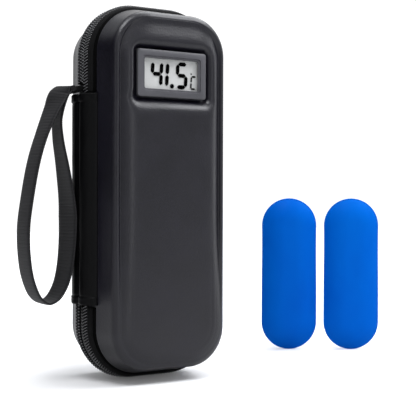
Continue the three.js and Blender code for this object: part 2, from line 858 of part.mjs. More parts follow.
// Pull that hangs from a round bar at the origin
function pullTab() {
  const shape = roundedRectangle(pullWidth, pullLength, pullCorner);
  shape.holes.push(
    new THREE.Path(roundedRectangle(pullEyeWidth, pullEyeLength, pullBarRadius / 2).getPoints(2)
      .map(point => point.add(new THREE.Vector2(0, (pullLength - pullEyeLength) / 2 - 2 * pullBarRadius)))),
  );
  const tip = new THREE.Path();
  tip.absarc(0, -pullLength / 2 + pullCorner + pullTipHoleRadius, pullTipHoleRadius, 0, 2 * Math.PI);
  shape.holes.push(tip);
  const plate = new THREE.ExtrudeGeometry(shape, {
    depth: pullThickness,
    bevelEnabled: false,
    curveSegments: 4,
  });
  return plate.rotateX(Math.PI / 2).rotateZ(Math.PI / 2)
    .translate(-pullThickness / 2, 0, pullBarRadius - pullLength / 2);
}

// Ice pack as rings of its rounded outline from one face to the other
const packCrownShares = [
  [0, 0], [0.03, 0.32], [0.1, 0.6], [0.24, 0.82], [0.48, 0.95], [0.72, 1],
];

function icePack() {
  const [halfPack, halfThickness] = [packWidth / 2, packThickness / 2];
  const ring = (insetShare, riseShare) => {
    const radius = halfPack * (1 - insetShare);
    const points = [];
    for (const end of [0, 1]) {
      const centreZ = end === 0 ? halfPack : packHeight - halfPack;
      for (let step = 0; step <= packSteps; step += 1) {
        const angle = Math.PI * (1 + end + step / packSteps);
        points.push([
          radius * Math.cos(angle),
          riseShare * halfThickness,
          centreZ + radius * Math.sin(angle),
        ]);
      }
    }
    return points;
  };
  const rear = packCrownShares.slice(1).map(([inset, rise]) => ring(inset, rise));
  const front = packCrownShares.slice(1).map(([inset, rise]) => ring(inset, -rise)).reverse();
  return solidFromRings([...front, ring(0, 0), ...rear], flattenXZ);
}

const leather = { color: 0x37373c, roughness: 0.55, metalness: 0 };
const darkWebbing = { color: 0x1d1c20, roughness: 0.85, metalness: 0 };
const coilPlastic = { color: 0x26262a, roughness: 0.5, metalness: 0 };
const foil = { color: 0xb9bcc0, roughness: 0.35, metalness: 0.6 };
const knit = { color: 0x2b2b2f, roughness: 0.95, metalness: 0 };
const housingPlastic = { color: 0x4a4a52, roughness: 0.45, metalness: 0 };
const darkPlastic = { color: 0x1b1b1e, roughness: 0.5, metalness: 0 };
const clear = { color: 0xe6ecec, roughness: 0.05, metalness: 0 };
const lcdGrey = { color: 0xcfd1cf, roughness: 0.3, metalness: 0 };
const boardGreen = { color: 0x1d5a35, roughness: 0.6, metalness: 0 };
const steel = { color: 0xb5b7ba, roughness: 0.3, metalness: 1 };
const gunmetal = { color: 0x3a3b3f, roughness: 0.35, metalness: 1 };
const rubber = { color: 0x202022, roughness: 0.8, metalness: 0 };
const packBlue = { color: 0x0a52c8, roughness: 0.5, metalness: 0 };

const group = new THREE.Group();

function add(name, geometry, finishes, parent = group) {
  const mesh = new THREE.Mesh(finish(geometry), new THREE.MeshStandardMaterial(finishes));
  mesh.name = name;
  parent.add(mesh);
  return mesh;
}

function addGroup(x, y, z, turn = 0) {
  const nested = new THREE.Group();
  nested.position.set(x, y, z);
  nested.rotation.z = turn;
  group.add(nested);
  return nested;
}

add('rear_shell', rearShell(), leather);
add('rear_lining', rearLining(), foil);
add('rear_zip_tape', rearTape(), darkWebbing);
add('rear_zip_coil', rearCoil(), coilPlastic);
add('spine_cover', spineCover(), leather);
add('strap_tab', strapTab(), darkWebbing);
add('pen_board', penBoard(), knit);
add('pen_band_lower', penBand(lowerBandZ), darkWebbing);
add('pen_band_upper', penBand(upperBandZ), darkWebbing);

add('lid_shell', lidShell(), leather);
add('lid_lining', lidLining(), foil);
add('lid_zip_tape', lidTape(), darkWebbing);
add('lid_zip_coil', lidCoil(), coilPlastic);
add('pack_sleeve', packSleeve(), knit);
add('sleeve_binding', sleeveBinding(), darkWebbing);

add('display_housing', displayHousing(), housingPlastic);
add('display_lens', displayLens(), clear);
add('lcd_panel', lcdPanel(), lcdGrey);
add('rubber_connector', rubberConnector(), rubber);
add('circuit_board', circuitBoard(), boardGreen);
add('driver_chip', driverChip(), darkPlastic);
add('cell_contact_left', cellContact(-1), steel);
add('cell_contact_right', cellContact(1), steel);
add('button_cell_left', buttonCell(-1), steel);
add('button_cell_right', buttonCell(1), steel);
add('housing_back', housingBack(), darkPlastic);
add('battery_door', batteryDoor(), darkPlastic);
add('temperature_probe', temperatureProbe(), darkPlastic);

add('wrist_strap', wristStrap(), darkWebbing);

for (const [name, end] of [['upper', 1], ['lower', -1]]) {
  const centreZ = sliderMeetZ + end * (sliderLength + sliderGap) / 2;
  add(`${name}_slider`, sliderBody(end), gunmetal, addGroup(0, 0, centreZ));
  add(`${name}_pull`, pullTab(), gunmetal, addGroup(bridgeAxisX, 0, centreZ + end * bridgeOffset));
}

for (const [name, place] of [['near', nearPackPlace], ['far', farPackPlace]]) {
  add(`ice_pack_${name}`, icePack(), packBlue, addGroup(place.x, place.y, 0, packTurn));
}

export default group;
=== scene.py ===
"""The finished look of the insulin cooling case, its wrist strap and its two gel packs.

Lengths in the tables are millimetres in the part's own frame: +X to the opening side, the lid
faces -Y, +Z up, the parting plane is y = 0 and the foot is z = 0.
"""

import contextlib
import math

import bmesh
import bpy
import numpy as np
from mathutils import Matrix, Vector, noise


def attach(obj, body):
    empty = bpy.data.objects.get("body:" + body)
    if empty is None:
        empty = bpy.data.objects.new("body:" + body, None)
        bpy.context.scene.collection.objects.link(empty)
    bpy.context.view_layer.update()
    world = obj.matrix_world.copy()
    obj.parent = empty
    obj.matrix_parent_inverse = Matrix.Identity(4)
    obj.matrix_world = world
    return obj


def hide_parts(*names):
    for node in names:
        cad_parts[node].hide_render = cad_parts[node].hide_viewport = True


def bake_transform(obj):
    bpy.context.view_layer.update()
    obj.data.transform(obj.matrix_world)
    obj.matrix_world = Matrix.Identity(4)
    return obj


MM = 0.001
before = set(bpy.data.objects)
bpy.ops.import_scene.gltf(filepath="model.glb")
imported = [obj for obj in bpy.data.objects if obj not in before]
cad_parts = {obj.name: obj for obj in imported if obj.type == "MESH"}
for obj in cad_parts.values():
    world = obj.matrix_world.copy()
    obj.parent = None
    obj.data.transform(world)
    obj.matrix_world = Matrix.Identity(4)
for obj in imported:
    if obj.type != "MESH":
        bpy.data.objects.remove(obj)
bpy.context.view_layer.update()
scene = bpy.context.scene

# Outline of the case

HALF_WIDTH = 47.5
HEIGHT = 234.5
MIDDLE = HEIGHT / 2
CORNER = 35.5
SHOULDER = 23.9
SHOULDER_INSET = 8.65
MODULE_Z = 188.6


def radius_at(inset):
    if inset > SHOULDER_INSET:
        return SHOULDER - (inset - SHOULDER_INSET) * 0.5
    return CORNER + (SHOULDER - CORNER) * inset / SHOULDER_INSET


def outline(q, inset):
    """Points of the outline at an inset. q runs 0 to 8: arcs have even, straights odd numbers,
    from the foot of the spine side round the foot, the opening side and the top."""
    q = np.mod(np.asarray(q, float), 8)
    segment = np.minimum(q.astype(int), 7)
    share = q - segment
    radius = radius_at(inset)
    x1, low, high = HALF_WIDTH - inset - radius, inset + radius, HEIGHT - inset - radius
    corners = np.array([(-x1, low), (x1, low), (x1, high), (-x1, high)])
    corner = segment // 2
    straight = segment % 2 == 1
    here, after = corners[corner], corners[(corner + 1) % 4]
    centre = here + (after - here) * np.where(straight, share, 0.0)[..., None]
    angle = np.pi + (corner + np.where(straight, 1.0, share)) * np.pi / 2
    return centre[..., 0] + radius * np.cos(angle), centre[..., 1] + radius * np.sin(angle)


ARC = CORNER * np.pi / 2
FLAT = 2 * (HALF_WIDTH - CORNER)
SIDE = HEIGHT - 2 * CORNER
LENGTHS = np.array([ARC, FLAT, ARC, SIDE, ARC, FLAT, ARC, SIDE])
STARTS = np.concatenate([[0], np.cumsum(LENGTHS)])
PERIMETER = STARTS[-1]


def at_length(s):
    """Outline parameter at a length along the outline, from the foot of the spine side."""
    s = np.mod(np.asarray(s, float), PERIMETER)
    segment = np.clip(np.searchsorted(STARTS, s, side="right") - 1, 0, 7)
    return segment + (s - STARTS[segment]) / LENGTHS[segment]


def smooth_path(points, count):
    """Centripetal spline through points, resampled at equal lengths."""
    p = np.asarray(points, float)
    p = np.vstack([2 * p[0] - p[1], p, 2 * p[-1] - p[-2]])
    out = []
    for i in range(1, len(p) - 2):
        a, b, c, d = p[i - 1 : i + 3]
        t1 = np.linalg.norm(b - a) ** 0.5 + 1e-9
        t2 = t1 + np.linalg.norm(c - b) ** 0.5 + 1e-9
        t3 = t2 + np.linalg.norm(d - c) ** 0.5 + 1e-9
        for t in np.linspace(t1, t2, 14, endpoint=False):
            a1 = (t1 - t) / t1 * a + t / t1 * b
            a2 = (t2 - t) / (t2 - t1) * b + (t - t1) / (t2 - t1) * c
            a3 = (t3 - t) / (t3 - t2) * c + (t - t2) / (t3 - t2) * d
            b1 = (t2 - t) / t2 * a1 + t / t2 * a2
            b2 = (t3 - t) / (t3 - t1) * a2 + (t - t1) / (t3 - t1) * a3
            out.append((t2 - t) / (t2 - t1) * b1 + (t - t1) / (t2 - t1) * b2)
    out = np.array(out + [p[-2]])
    length = np.concatenate([[0], np.cumsum(np.linalg.norm(np.diff(out, axis=0), axis=1))])
    at = np.linspace(0, length[-1], count)
    return np.stack([np.interp(at, length, out[:, k]) for k in range(out.shape[1])], axis=1)


def sideways(path):
    """Unit normals along a flat path, to its left."""
    tangent = np.gradient(path, axis=0)
    normal = np.stack([-tangent[:, 1], tangent[:, 0]], 1)
    return normal / np.linalg.norm(normal, axis=1)[:, None]


def smoothstep(x, low, high):
    t = np.clip((x - low) / (high - low), 0, 1)
    return t * t * (3 - 2 * t)


# Meshes


def link(name, mesh, material):
    made = bpy.data.objects.new(name, mesh)
    scene.collection.objects.link(made)
    mesh.materials.clear()
    mesh.materials.append(material)
    return made


@contextlib.contextmanager
def edited(mesh):
    """The mesh as a bmesh, written back afterwards."""
    work = bmesh.new()
    work.from_mesh(mesh)
    yield work
    work.to_mesh(mesh)
    work.free()


def mesh_piece(name, verts, faces, material, uv=None, smooth=True):
    """A mesh object from vertices in millimetres, with its faces turned outwards."""
    mesh = bpy.data.meshes.new(name)
    mesh.from_pydata((np.asarray(verts, float) * MM).tolist(), [], [list(f) for f in faces])
    with edited(mesh) as work:
        bmesh.ops.recalc_face_normals(work, faces=work.faces)
    mesh.polygons.foreach_set("use_smooth", [smooth] * len(mesh.polygons))
    if uv is not None:
        layer = mesh.uv_layers.new(name="UVMap")
        index = np.zeros(len(mesh.loops), int)
        mesh.loops.foreach_get("vertex_index", index)
        layer.data.foreach_set("uv", (np.asarray(uv, float) * MM)[index].ravel())
    mesh.update()
    return link(name, mesh, material)


def quads(rows, columns, closed_rows=False, closed_columns=True):
    index = np.arange(rows * columns).reshape(rows, columns)
    a = index if closed_rows else index[:-1]
    b = np.roll(index, -1, axis=0) if closed_rows else index[1:]
    cells = np.stack([a, np.roll(a, -1, 1), np.roll(b, -1, 1), b], axis=2)
    return (cells if closed_columns else cells[:, :-1]).reshape(-1, 4)


def capped(rows, columns):
    """Faces of a tube of rings with its two ends closed."""
    ends = [list(range(columns))[::-1], list(range((rows - 1) * columns, rows * columns))]
    return quads(rows, columns).tolist() + ends


def sweep_piece(name, rings, material, closed=False, uv=None):
    """A closed solid from rings of equal counts, with its two ends capped unless it closes."""
    rings = np.asarray(rings, float)
    rows, columns, _ = rings.shape
    faces = quads(rows, columns, closed_rows=True).tolist() if closed else capped(rows, columns)
    return mesh_piece(name, rings.reshape(-1, 3), faces, material, uv)


def plate_piece(name, outlines, low, high, bevel, material, place):
    """A plate with rounded edges. outlines holds its edge and its holes as (a, b) points, and
    place turns (a, b, height) into (x, y, z), both in millimetres."""
    curve = bpy.data.curves.new(name, "CURVE")
    curve.dimensions, curve.fill_mode = "2D", "BOTH"
    curve.extrude = (high - low) / 2 - bevel
    curve.bevel_depth, curve.bevel_resolution = bevel, 2
    curve.offset = -bevel
    for points in outlines:
        spline = curve.splines.new("POLY")
        spline.points.add(len(points) - 1)
        for point, (a, b) in zip(spline.points, points):
            point.co = (a, b, 0, 1)
        spline.use_cyclic_u = True
    holder = bpy.data.objects.new(name + "_curve", curve)
    scene.collection.objects.link(holder)
    bpy.context.view_layer.update()
    mesh = bpy.data.meshes.new_from_object(holder.evaluated_get(bpy.context.evaluated_depsgraph_get()))
    bpy.data.objects.remove(holder)
    bpy.data.curves.remove(curve)
    mesh.name = name
    with edited(mesh) as work:
        bmesh.ops.remove_doubles(work, verts=work.verts, dist=1e-4)
        for vert in work.verts:
            a, b, c = vert.co
            vert.co = Vector(place(a, b, c + (low + high) / 2)) * MM
        bmesh.ops.recalc_face_normals(work, faces=work.faces)
    mesh.polygons.foreach_set("use_smooth", [True] * len(mesh.polygons))
    made = link(name, mesh, material)
    sharpen(made, 40)
    return made


def sharpen(made, degrees):
    """Keeps edges over an angle crisp while the rest shades smoothly."""
    with edited(made.data) as work:
        for edge in work.edges:
            edge.smooth = len(edge.link_faces) != 2 or edge.calc_face_angle(0) <= math.radians(degrees)


def rounded(width, height, radius, cx=0.0, cz=0.0, steps=6):
    points = []
    for corner, (sx, sz) in enumerate([(1, 1), (-1, 1), (-1, -1), (1, -1)]):
        for step in range(steps + 1):
            angle = (corner + step / steps) * math.pi / 2
            points.append((
                cx + sx * (width / 2 - radius) + radius * math.cos(angle),
                cz + sz * (height / 2 - radius) + radius * math.sin(angle),
            ))
    return points


def circle(radius, cx=0.0, cz=0.0, steps=20):
    angles = [2 * math.pi * k / steps for k in range(steps)]
    return [(cx + radius * math.cos(a), cz + radius * math.sin(a)) for a in angles]


# Materials


def tone(code):
    """A linear colour from a hex code."""
    channels = [int(code[k : k + 2], 16) / 255 for k in (1, 3, 5)]
    return (*[c / 12.92 if c <= 0.04045 else ((c + 0.055) / 1.055) ** 2.4 for c in channels], 1)


def set_range(node, *numbers):
    for key, number in zip(("From Min", "From Max", "To Min", "To Max"), numbers):
        node.inputs[key].default_value = number


class Surface:
    """A node material with a few shorthands for its colour, roughness and relief."""

    def __init__(self, name, roughness=0.5, specular=0.5, metallic=0.0, sheen=0.0, coords="Object"):
        self.material = bpy.data.materials.new(name)
        self.material.use_nodes = True
        self.nodes, self.links = self.material.node_tree.nodes, self.material.node_tree.links
        self.shader = self.nodes["Principled BSDF"]
        self.set("Roughness", roughness)
        self.set("Specular IOR Level", specular)
        self.set("Metallic", metallic)
        self.set("Sheen Weight", sheen)
        self.place = self.nodes.new("ShaderNodeTexCoord").outputs[coords]
        self.relief = None

    def set(self, socket, value):
        self.shader.inputs[socket].default_value = value

    def add(self, kind, **inputs):
        made = self.nodes.new("ShaderNode" + kind)
        for key, value in inputs.items():
            self.feed(made.inputs[key.replace("_", " ")], value)
        return made

    def feed(self, socket, value):
        if isinstance(value, bpy.types.NodeSocket):
            self.links.new(value, socket)
        else:
            socket.default_value = value

    def noise(self, scale, detail=3.0, stretch=None):
        vector = self.place
        if stretch is not None:
            vector = self.add("Mapping", Vector=vector, Scale=stretch).outputs["Vector"]
        made = self.add("TexNoise", Vector=vector, Scale=scale, Detail=detail, Roughness=0.55)
        return made.outputs["Fac"]

    def cells(self, scale, feature="F1", random=1.0):
        made = self.add("TexVoronoi", Vector=self.place, Scale=scale, Randomness=random)
        made.feature = feature
        return made.outputs["Distance"]

    def waves(self, pitch, direction="X", distortion=0.0):
        scale = 1 / (pitch * MM) / 3.1416 * 0.5
        made = self.add("TexWave", Vector=self.place, Scale=scale, Distortion=distortion)
        made.wave_type, made.bands_direction, made.wave_profile = "BANDS", direction, "SIN"
        made.inputs["Detail"].default_value = 1.0
        return made.outputs["Fac"]

    def mathed(self, operation, a, b):
        made = self.nodes.new("ShaderNodeMath")
        made.operation = operation
        self.feed(made.inputs[0], a)
        self.feed(made.inputs[1], b)
        return made.outputs[0]

    def blended(self, a, share_a, b, share_b):
        return self.mathed("ADD", self.mathed("MULTIPLY", a, share_a), self.mathed("MULTIPLY", b, share_b))

    def ranged(self, value, low, high, to_low=0.0, to_high=1.0):
        made = self.add("MapRange", Value=value)
        set_range(made, low, high, to_low, to_high)
        return made.outputs["Result"]

    def colour(self, factor, *stops):
        """Colours the surface by a factor, with (position, hex code) stops."""
        ramp = self.add("ValToRGB", Fac=factor)
        band = ramp.color_ramp
        while len(band.elements) < len(stops):
            band.elements.new(0.5)
        for element, (at, code) in zip(band.elements, stops):
            element.position = at
            element.color = tone(code)
        self.links.new(ramp.outputs["Color"], self.shader.inputs["Base Color"])

    def bump(self, height, depth_mm, strength):
        made = self.add("Bump", Height=height, Strength=strength, Distance=depth_mm * MM)
        if self.relief is not None:
            self.links.new(self.relief, made.inputs["Normal"])
        self.relief = made.outputs["Normal"]
        self.links.new(self.relief, self.shader.inputs["Normal"])

    def roughness(self, value):
        self.links.new(value, self.shader.inputs["Roughness"])


def leather(name, dark, light, grain, rough, specular=0.5):
    made = Surface(name, specular=specular)
    large = made.noise(38, 4)
    pores = made.cells(1050, "SMOOTH_F1")
    fine = made.noise(2600, 2)
    made.colour(made.blended(large, 0.7, pores, 0.45), (0.25, dark), (0.85, light))
    uneven = made.mathed("ADD", large, made.mathed("MULTIPLY", pores, 0.5))
    made.roughness(made.ranged(uneven, 0.4, 1.1, *rough))
    made.bump(made.noise(120, 3), 0.10, 0.35)
    made.bump(pores, grain, 0.65)
    made.bump(fine, 0.03, 0.35)
    return made.material


def woven(name, dark, light, across=900, along=900, depth=0.12, rough=0.82, sheen=0.10, specular=0.25):
    """A fine weave of crossing threads."""
    made = Surface(name, roughness=rough, specular=specular, sheen=sheen)
    made.set("Sheen Roughness", 0.5)
    over = made.cells(across, "F1", random=0.25)
    slubs = made.noise(along * 0.35, 2, (1, 1, 0.35))
    made.colour(made.blended(over, 0.6, slubs, 0.6), (0.25, dark), (0.85, light))
    made.bump(over, depth, 0.7)
    made.bump(slubs, 0.06, 0.4)
    return made.material


def plastic(name, dark, light, rough=0.42, specular=0.45, texture=0.02):
    made = Surface(name, roughness=rough, specular=specular)
    wear = made.noise(60, 4)
    spark = made.noise(3200, 2)
    made.colour(wear, (0.3, dark), (0.75, light))
    made.roughness(made.ranged(wear, 0.3, 0.8, rough - 0.06, rough + 0.08))
    made.bump(spark, texture, 0.5)
    return made.material


def metal(name, dark, light, rough=0.32):
    made = Surface(name, roughness=rough, metallic=1.0)
    brushed = made.noise(420, 3, (1, 1, 6))
    made.colour(brushed, (0.3, dark), (0.8, light))
    made.roughness(made.ranged(brushed, 0.2, 0.8, rough - 0.08, rough + 0.1))
    made.bump(made.noise(900, 2), 0.01, 0.3)
    return made.material


RIB_PITCH = 1.05
THREAD_PITCH = 0.55


def webbing(name, dark, light):
    """Flat webbing with cross ribs; u runs along it and v across it."""
    made = Surface(name, roughness=0.60, specular=0.34, sheen=0.05, coords="UV")
    made.set("Sheen Roughness", 0.45)
    ribs = made.waves(RIB_PITCH, "X")
    threads = made.waves(THREAD_PITCH, "Y", 0.4)
    slub = made.noise(700, 3)
    made.colour(made.blended(ribs, 0.5, slub, 0.5), (0.2, dark), (0.85, light))
    made.bump(ribs, 0.10, 0.6)
    made.bump(threads, 0.05, 0.5)
    made.bump(slub, 0.04, 0.4)
    return made.material


def foil(name):
    made = Surface(name, roughness=0.34, specular=0.5, metallic=0.85)
    crinkle = made.cells(90, "DISTANCE_TO_EDGE")
    soft = made.noise(70, 5)
    weave = made.cells(650, "F1", random=0.1)
    made.colour(soft, (0.3, "#8d9096"), (0.8, "#c3c6ca"))
    made.roughness(made.ranged(soft, 0.3, 0.8, 0.28, 0.46))
    made.bump(soft, 0.9, 0.5)
    made.bump(crinkle, 0.25, 0.35)
    made.bump(weave, 0.04, 0.5)
    return made.material


def gel_film(name):
    made = Surface(name, roughness=0.42, specular=0.02)
    cloud = made.noise(26, 3, (1, 1, 0.6))
    made.colour(cloud, (0.30, "#0056bf"), (0.75, "#0062ca"))
    made.roughness(made.ranged(cloud, 0.3, 0.8, 0.36, 0.50))
    made.bump(made.noise(60, 3), 0.35, 0.25)
    made.bump(made.noise(900, 2), 0.015, 0.35)
    return made.material


LEATHER = leather("shell_leather", "#08070e", "#100e1a", 0.10, (0.28, 0.42))
SPINE_LEATHER = leather("spine_leather", "#040405", "#0a0a0b", 0.07, (0.34, 0.50), 0.09)
TAPE = woven("zip_tape", "#040404", "#101011", 1100, 1100, 0.16, 0.85, 0.02, 0.10)
COIL = plastic("zip_coil", "#38383a", "#505052", 0.24, 1.0)
BED = woven("zip_bed", "#020202", "#050505", 1500, 1500, 0.10, 0.95, 0.0, 0.05)
THREAD = woven("stitch_thread", "#4c4c4e", "#6c6c6e", 2400, 2400, 0.05)
STRAP = webbing("strap_webbing", "#080709", "#131216")
KNIT = woven("inner_knit", "#17171a", "#2a2a2f", 620, 620, 0.25, 0.9, 0.25)
ELASTIC = woven("elastic_band", "#0e0e10", "#1c1c1f", 1300, 420, 0.16, 0.8)
FOIL = foil("lining_foil")
HOUSING = plastic("housing_plastic", "#47474b", "#535257", 0.38, 0.42)
HOUSING_INNER = plastic("housing_dark", "#0c0c0e", "#17171a", 0.5, 0.35)
SEGMENT = plastic("lcd_segment", "#010101", "#030303", 0.7, 0.0, 0.005)
LCD = plastic("lcd_glass", "#d3d4d2", "#d9dad8", 0.45, 0.2, 0.003)
RUBBER = plastic("black_rubber", "#131314", "#1f1f21", 0.75, 0.3)
BOARD = plastic("board_green", "#0c5a2c", "#167038", 0.45, 0.5)
PLATED = metal("plated_steel", "#a3a6aa", "#c9ccd0", 0.28)
GUNMETAL = metal("zip_metal", "#3c3c3e", "#5e5e60", 0.36)
GEL = gel_film("pack_film")

LENS = Surface("clear_lens", roughness=0.06, specular=0.5)
LENS.colour(LENS.noise(40, 2), (0.3, "#101112"), (0.8, "#18191a"))
LENS.set("Alpha", 0.05)
LENS = LENS.material

# Moulded half shells


def marked_lines(marks, start=0.0):
    """Rising values from a start by (limit, cells) marks."""
    values = [start]
    for limit, cells in marks:
        values += list(np.linspace(values[-1], limit, cells + 1)[1:])
    return np.array(values)


def beyond(x, z, width, height, radius):
    """How far points lie outside a rounded rectangle round the origin, given by its half sides."""
    dx, dz = np.abs(x) - (width - radius), np.abs(z) - (height - radius)
    return np.hypot(np.maximum(dx, 0), np.maximum(dz, 0)) + np.minimum(np.maximum(dx, dz), 0) - radius


class Patch:
    """A grid over a rounded rectangle at an inset: rows run across it from the foot to the top."""

    def __init__(self, inset, column_marks, row_marks, low_cells):
        radius = radius_at(inset)
        self.width = HALF_WIDTH - inset
        low, high = inset + radius, HEIGHT - inset - radius
        half = marked_lines(column_marks + [(self.width, column_marks[-1][1] // 3 + 3)])
        u = np.concatenate([-half[:0:-1], half]) / self.width
        rows = []
        for angle in np.linspace(np.pi / 2, 0, low_cells, endpoint=False):
            share = angle / (np.pi / 2)
            width = self.width - radius * (1 - np.cos(angle))
            rows.append((low - radius * np.sin(angle), width, share, 3 - share))
        levels = list(marked_lines(row_marks, low))
        last = np.arcsin((levels[-1] - high) / radius)
        levels += list(high + radius * np.sin(np.linspace(last, np.pi / 2, 17)[1:]))
        for z in levels:
            if z <= high:
                share = (z - low) / (high - low)
                rows.append((z, self.width, 8 - share, 3 + share))
            else:
                angle = np.arcsin(min((z - high) / radius, 1))
                share = angle / (np.pi / 2)
                rows.append((z, self.width - radius * (1 - np.cos(angle)), 7 - share, 4 + share))
        z, width, q_left, q_right = np.array(rows).T
        self.x = u[None, :] * width[:, None]
        self.z = np.repeat(z[:, None], len(u), axis=1)
        count_rows, count_columns = self.x.shape
        index = np.arange(count_rows * count_columns).reshape(count_rows, count_columns)
        across = (u + 1) / 2
        down, back, rest = slice(low_cells, 0, -1), slice(-2, None, -1), slice(-2, low_cells, -1)
        left, right = index[:, 0], index[:, -1]
        self.loop = np.concatenate([left[down], index[0], right[1:], index[-1, back], left[rest]])
        self.q = np.concatenate([q_left[down], 1 + across, q_right[1:], 6 - across[back], q_left[rest]])
        self.index = index
        self.inside = -beyond(self.x, self.z - MIDDLE, self.width, HEIGHT / 2 - inset, radius)


def tray_piece(name, side, outer, inner, outer_depth, inner_depth, rings, material, hole=None, fill=None):
    """A closed tray: an outer and an inner face joined by rings of (inset, depth), outer first.
    side is -1 for the lid and 1 for the rear half; hole is (x, low z, high z) of a cut, and fill
    gives what is added to a ring's depth."""
    count = outer.x.size
    faces_of = []
    for patch, start in ((outer, 0), (inner, count)):
        cells = quads(*patch.x.shape, closed_columns=False)
        if hole is not None:
            cx = patch.x.ravel()[cells].mean(1)
            cz = patch.z.ravel()[cells].mean(1)
            cells = cells[(np.abs(cx) >= hole[0]) | (cz <= hole[1]) | (cz >= hole[2])]
        faces_of.append(cells + start)
    verts = [np.stack([p.x.ravel(), side * d.ravel(), p.z.ravel()], 1)
             for p, d in ((outer, outer_depth), (inner, inner_depth))]
    ring_points = []
    for inset, depth in rings:
        x, z = outline(outer.q, inset)
        added = 0 if fill is None or inset < SHOULDER_INSET or depth < 24.25 else fill(inset, x, z)
        ring_points.append(np.stack([x, side * (depth + added) * np.ones(len(x)), z], 1))
    base = 2 * count
    size = len(outer.q)
    middle = [base + k * size + np.arange(size) for k in range(len(rings))]
    loops = [outer.loop, *middle, inner.loop + count]
    pairs = list(zip(loops, loops[1:]))
    if hole is not None:
        pairs.append((hole_edge(outer, hole), hole_edge(inner, hole) + count))
    walls = [np.stack([a, np.roll(a, -1), np.roll(b, -1), b], 1) for a, b in pairs]
    faces = np.vstack(faces_of + walls)
    return mesh_piece(name, np.vstack(verts + ring_points), faces.tolist(), material)


def hole_edge(patch, hole):
    slack = 0.05
    middle = patch.x[patch.x.shape[0] // 2]
    columns = np.where(np.abs(middle) < hole[0] + slack)[0]
    rows = np.where((patch.z[:, 0] > hole[1] - slack) & (patch.z[:, 0] < hole[2] + slack))[0]
    box = patch.index[np.ix_(rows, columns)]
    return np.concatenate([box[0], box[1:, -1], box[-1, -2::-1], box[-2:0:-1, 0]])


HOLE = (22.9, MODULE_Z - 13.2, MODULE_Z + 13.2)
LID_GROOVE = (12.9, 26.5)
REAR_GROOVE = (12.9, 32.9)
FINE = ([(22.9, 12), (23.9, 2), (30.8, 30)],
        [(MODULE_Z - 22.0, 96), (MODULE_Z - 14.2, 34), (HOLE[1], 2), (HOLE[2], 18), (MODULE_Z + 14.2, 2),
         (MODULE_Z + 20.5, 28)], 22)
PLAIN = ([(22.9, 10)], [(HOLE[1], 50), (HOLE[2], 10), (MODULE_Z + 17.0, 3)], 14)


def crown(inside, depth, rise, reach=4.4):
    return depth + rise * (1 - np.exp(-((np.maximum(inside, 0) / reach) ** 1.2)))


POCKET_DEPTH = 25.3


def soft_foot(inset, x, z):
    """What fills the groove round the panel at the top and towards the foot, where it fades."""
    fill = np.interp(inset, [9.2, 9.5, 10.5, 11, 11.5, 11.9, 12.25, 12.55, 12.9, 13.9, 14.9, 16.5, 20, 25],
                     [0, 0.05, 0.1, 0.35, 0.8, 1.35, 2.0, 2.47, 2.75, 2.31, 1.78, 1.1, 0.3, 0])
    foot = (1 - smoothstep(z, 30, 108)) * (0.7 + 0.3 * smoothstep(x, -20, 20))
    brow = smoothstep(z, 208, 224) * smoothstep(x, -34, -14) * 0.9
    return fill * np.maximum(foot, brow)


def lid_panel_depth(patch):
    """Puffed panel with a soft-edged pocket for the thermometer."""
    depth = crown(patch.inside, LID_GROOVE[1], 4.7, 4.1 + 3.4 * smoothstep(patch.z, 196, 212))
    depth += soft_foot(LID_GROOVE[0] + patch.inside, patch.x, patch.z)
    depth += 0.7 * smoothstep(patch.inside, 4, 34)
    away = beyond(patch.x, patch.z - MODULE_Z, 24.6, 14.9, 2.6)
    reach = 2.3 + (0.9 + 0.8 * smoothstep(-patch.x, 0, 20)) * smoothstep(MODULE_Z - patch.z, 10, 16)
    lip = 1 - np.exp(-((np.maximum(away, 0) / reach) ** 1.3))
    return POCKET_DEPTH + (depth - POCKET_DEPTH) * lip


def ring_spline(points, count):
    return [tuple(p) for p in smooth_path(points, count)]


lid_outer = Patch(LID_GROOVE[0], *FINE)
lid_inner = Patch(16.0, FINE[0][:2] + [(28.5, 30)], *FINE[1:])
EDGE_ROLL = [(2.72, 0.9), (3.0, 0.42), (3.5, 0.3), (6.8, 0.3), (7.35, 0.5), (7.6, 1.1)]
LID_RINGS = ring_spline([
    (12.8, 26.52), (12.55, 26.65), (12.25, 27.0), (11.9, 27.5), (11.5, 27.85), (11.0, 28.0), (10.5, 27.9),
    (10.0, 27.55), (9.5, 27.05), (9.0, 26.4), (8.6, 25.6), (8.3, 24.5), (8.0, 22.9), (7.6, 20.7),
    (7.05, 18.1), (6.5, 15.6), (5.85, 12.9), (5.4, 11.3), (5.2, 10.3), (5.2, 9.4), (5.4, 8.7), (5.6, 8.2),
], 42)
LID_RINGS += [(5.35, 7.8), (4.6, 6.4), (3.6, 4.5), (2.95, 3.2), (2.72, 2.4)] + EDGE_ROLL
LID_INSIDE = ring_spline([(8.2, 5), (9.4, 12), (10.9, 18.6), (12.0, 21.6), (13.6, 23.4), (15.3, 24.1)], 10)
lid_shell = tray_piece("lid_cover", -1, lid_outer, lid_inner, lid_panel_depth(lid_outer),
                       np.full(lid_inner.x.shape, 24.2), LID_RINGS + LID_INSIDE, LEATHER, HOLE, soft_foot)

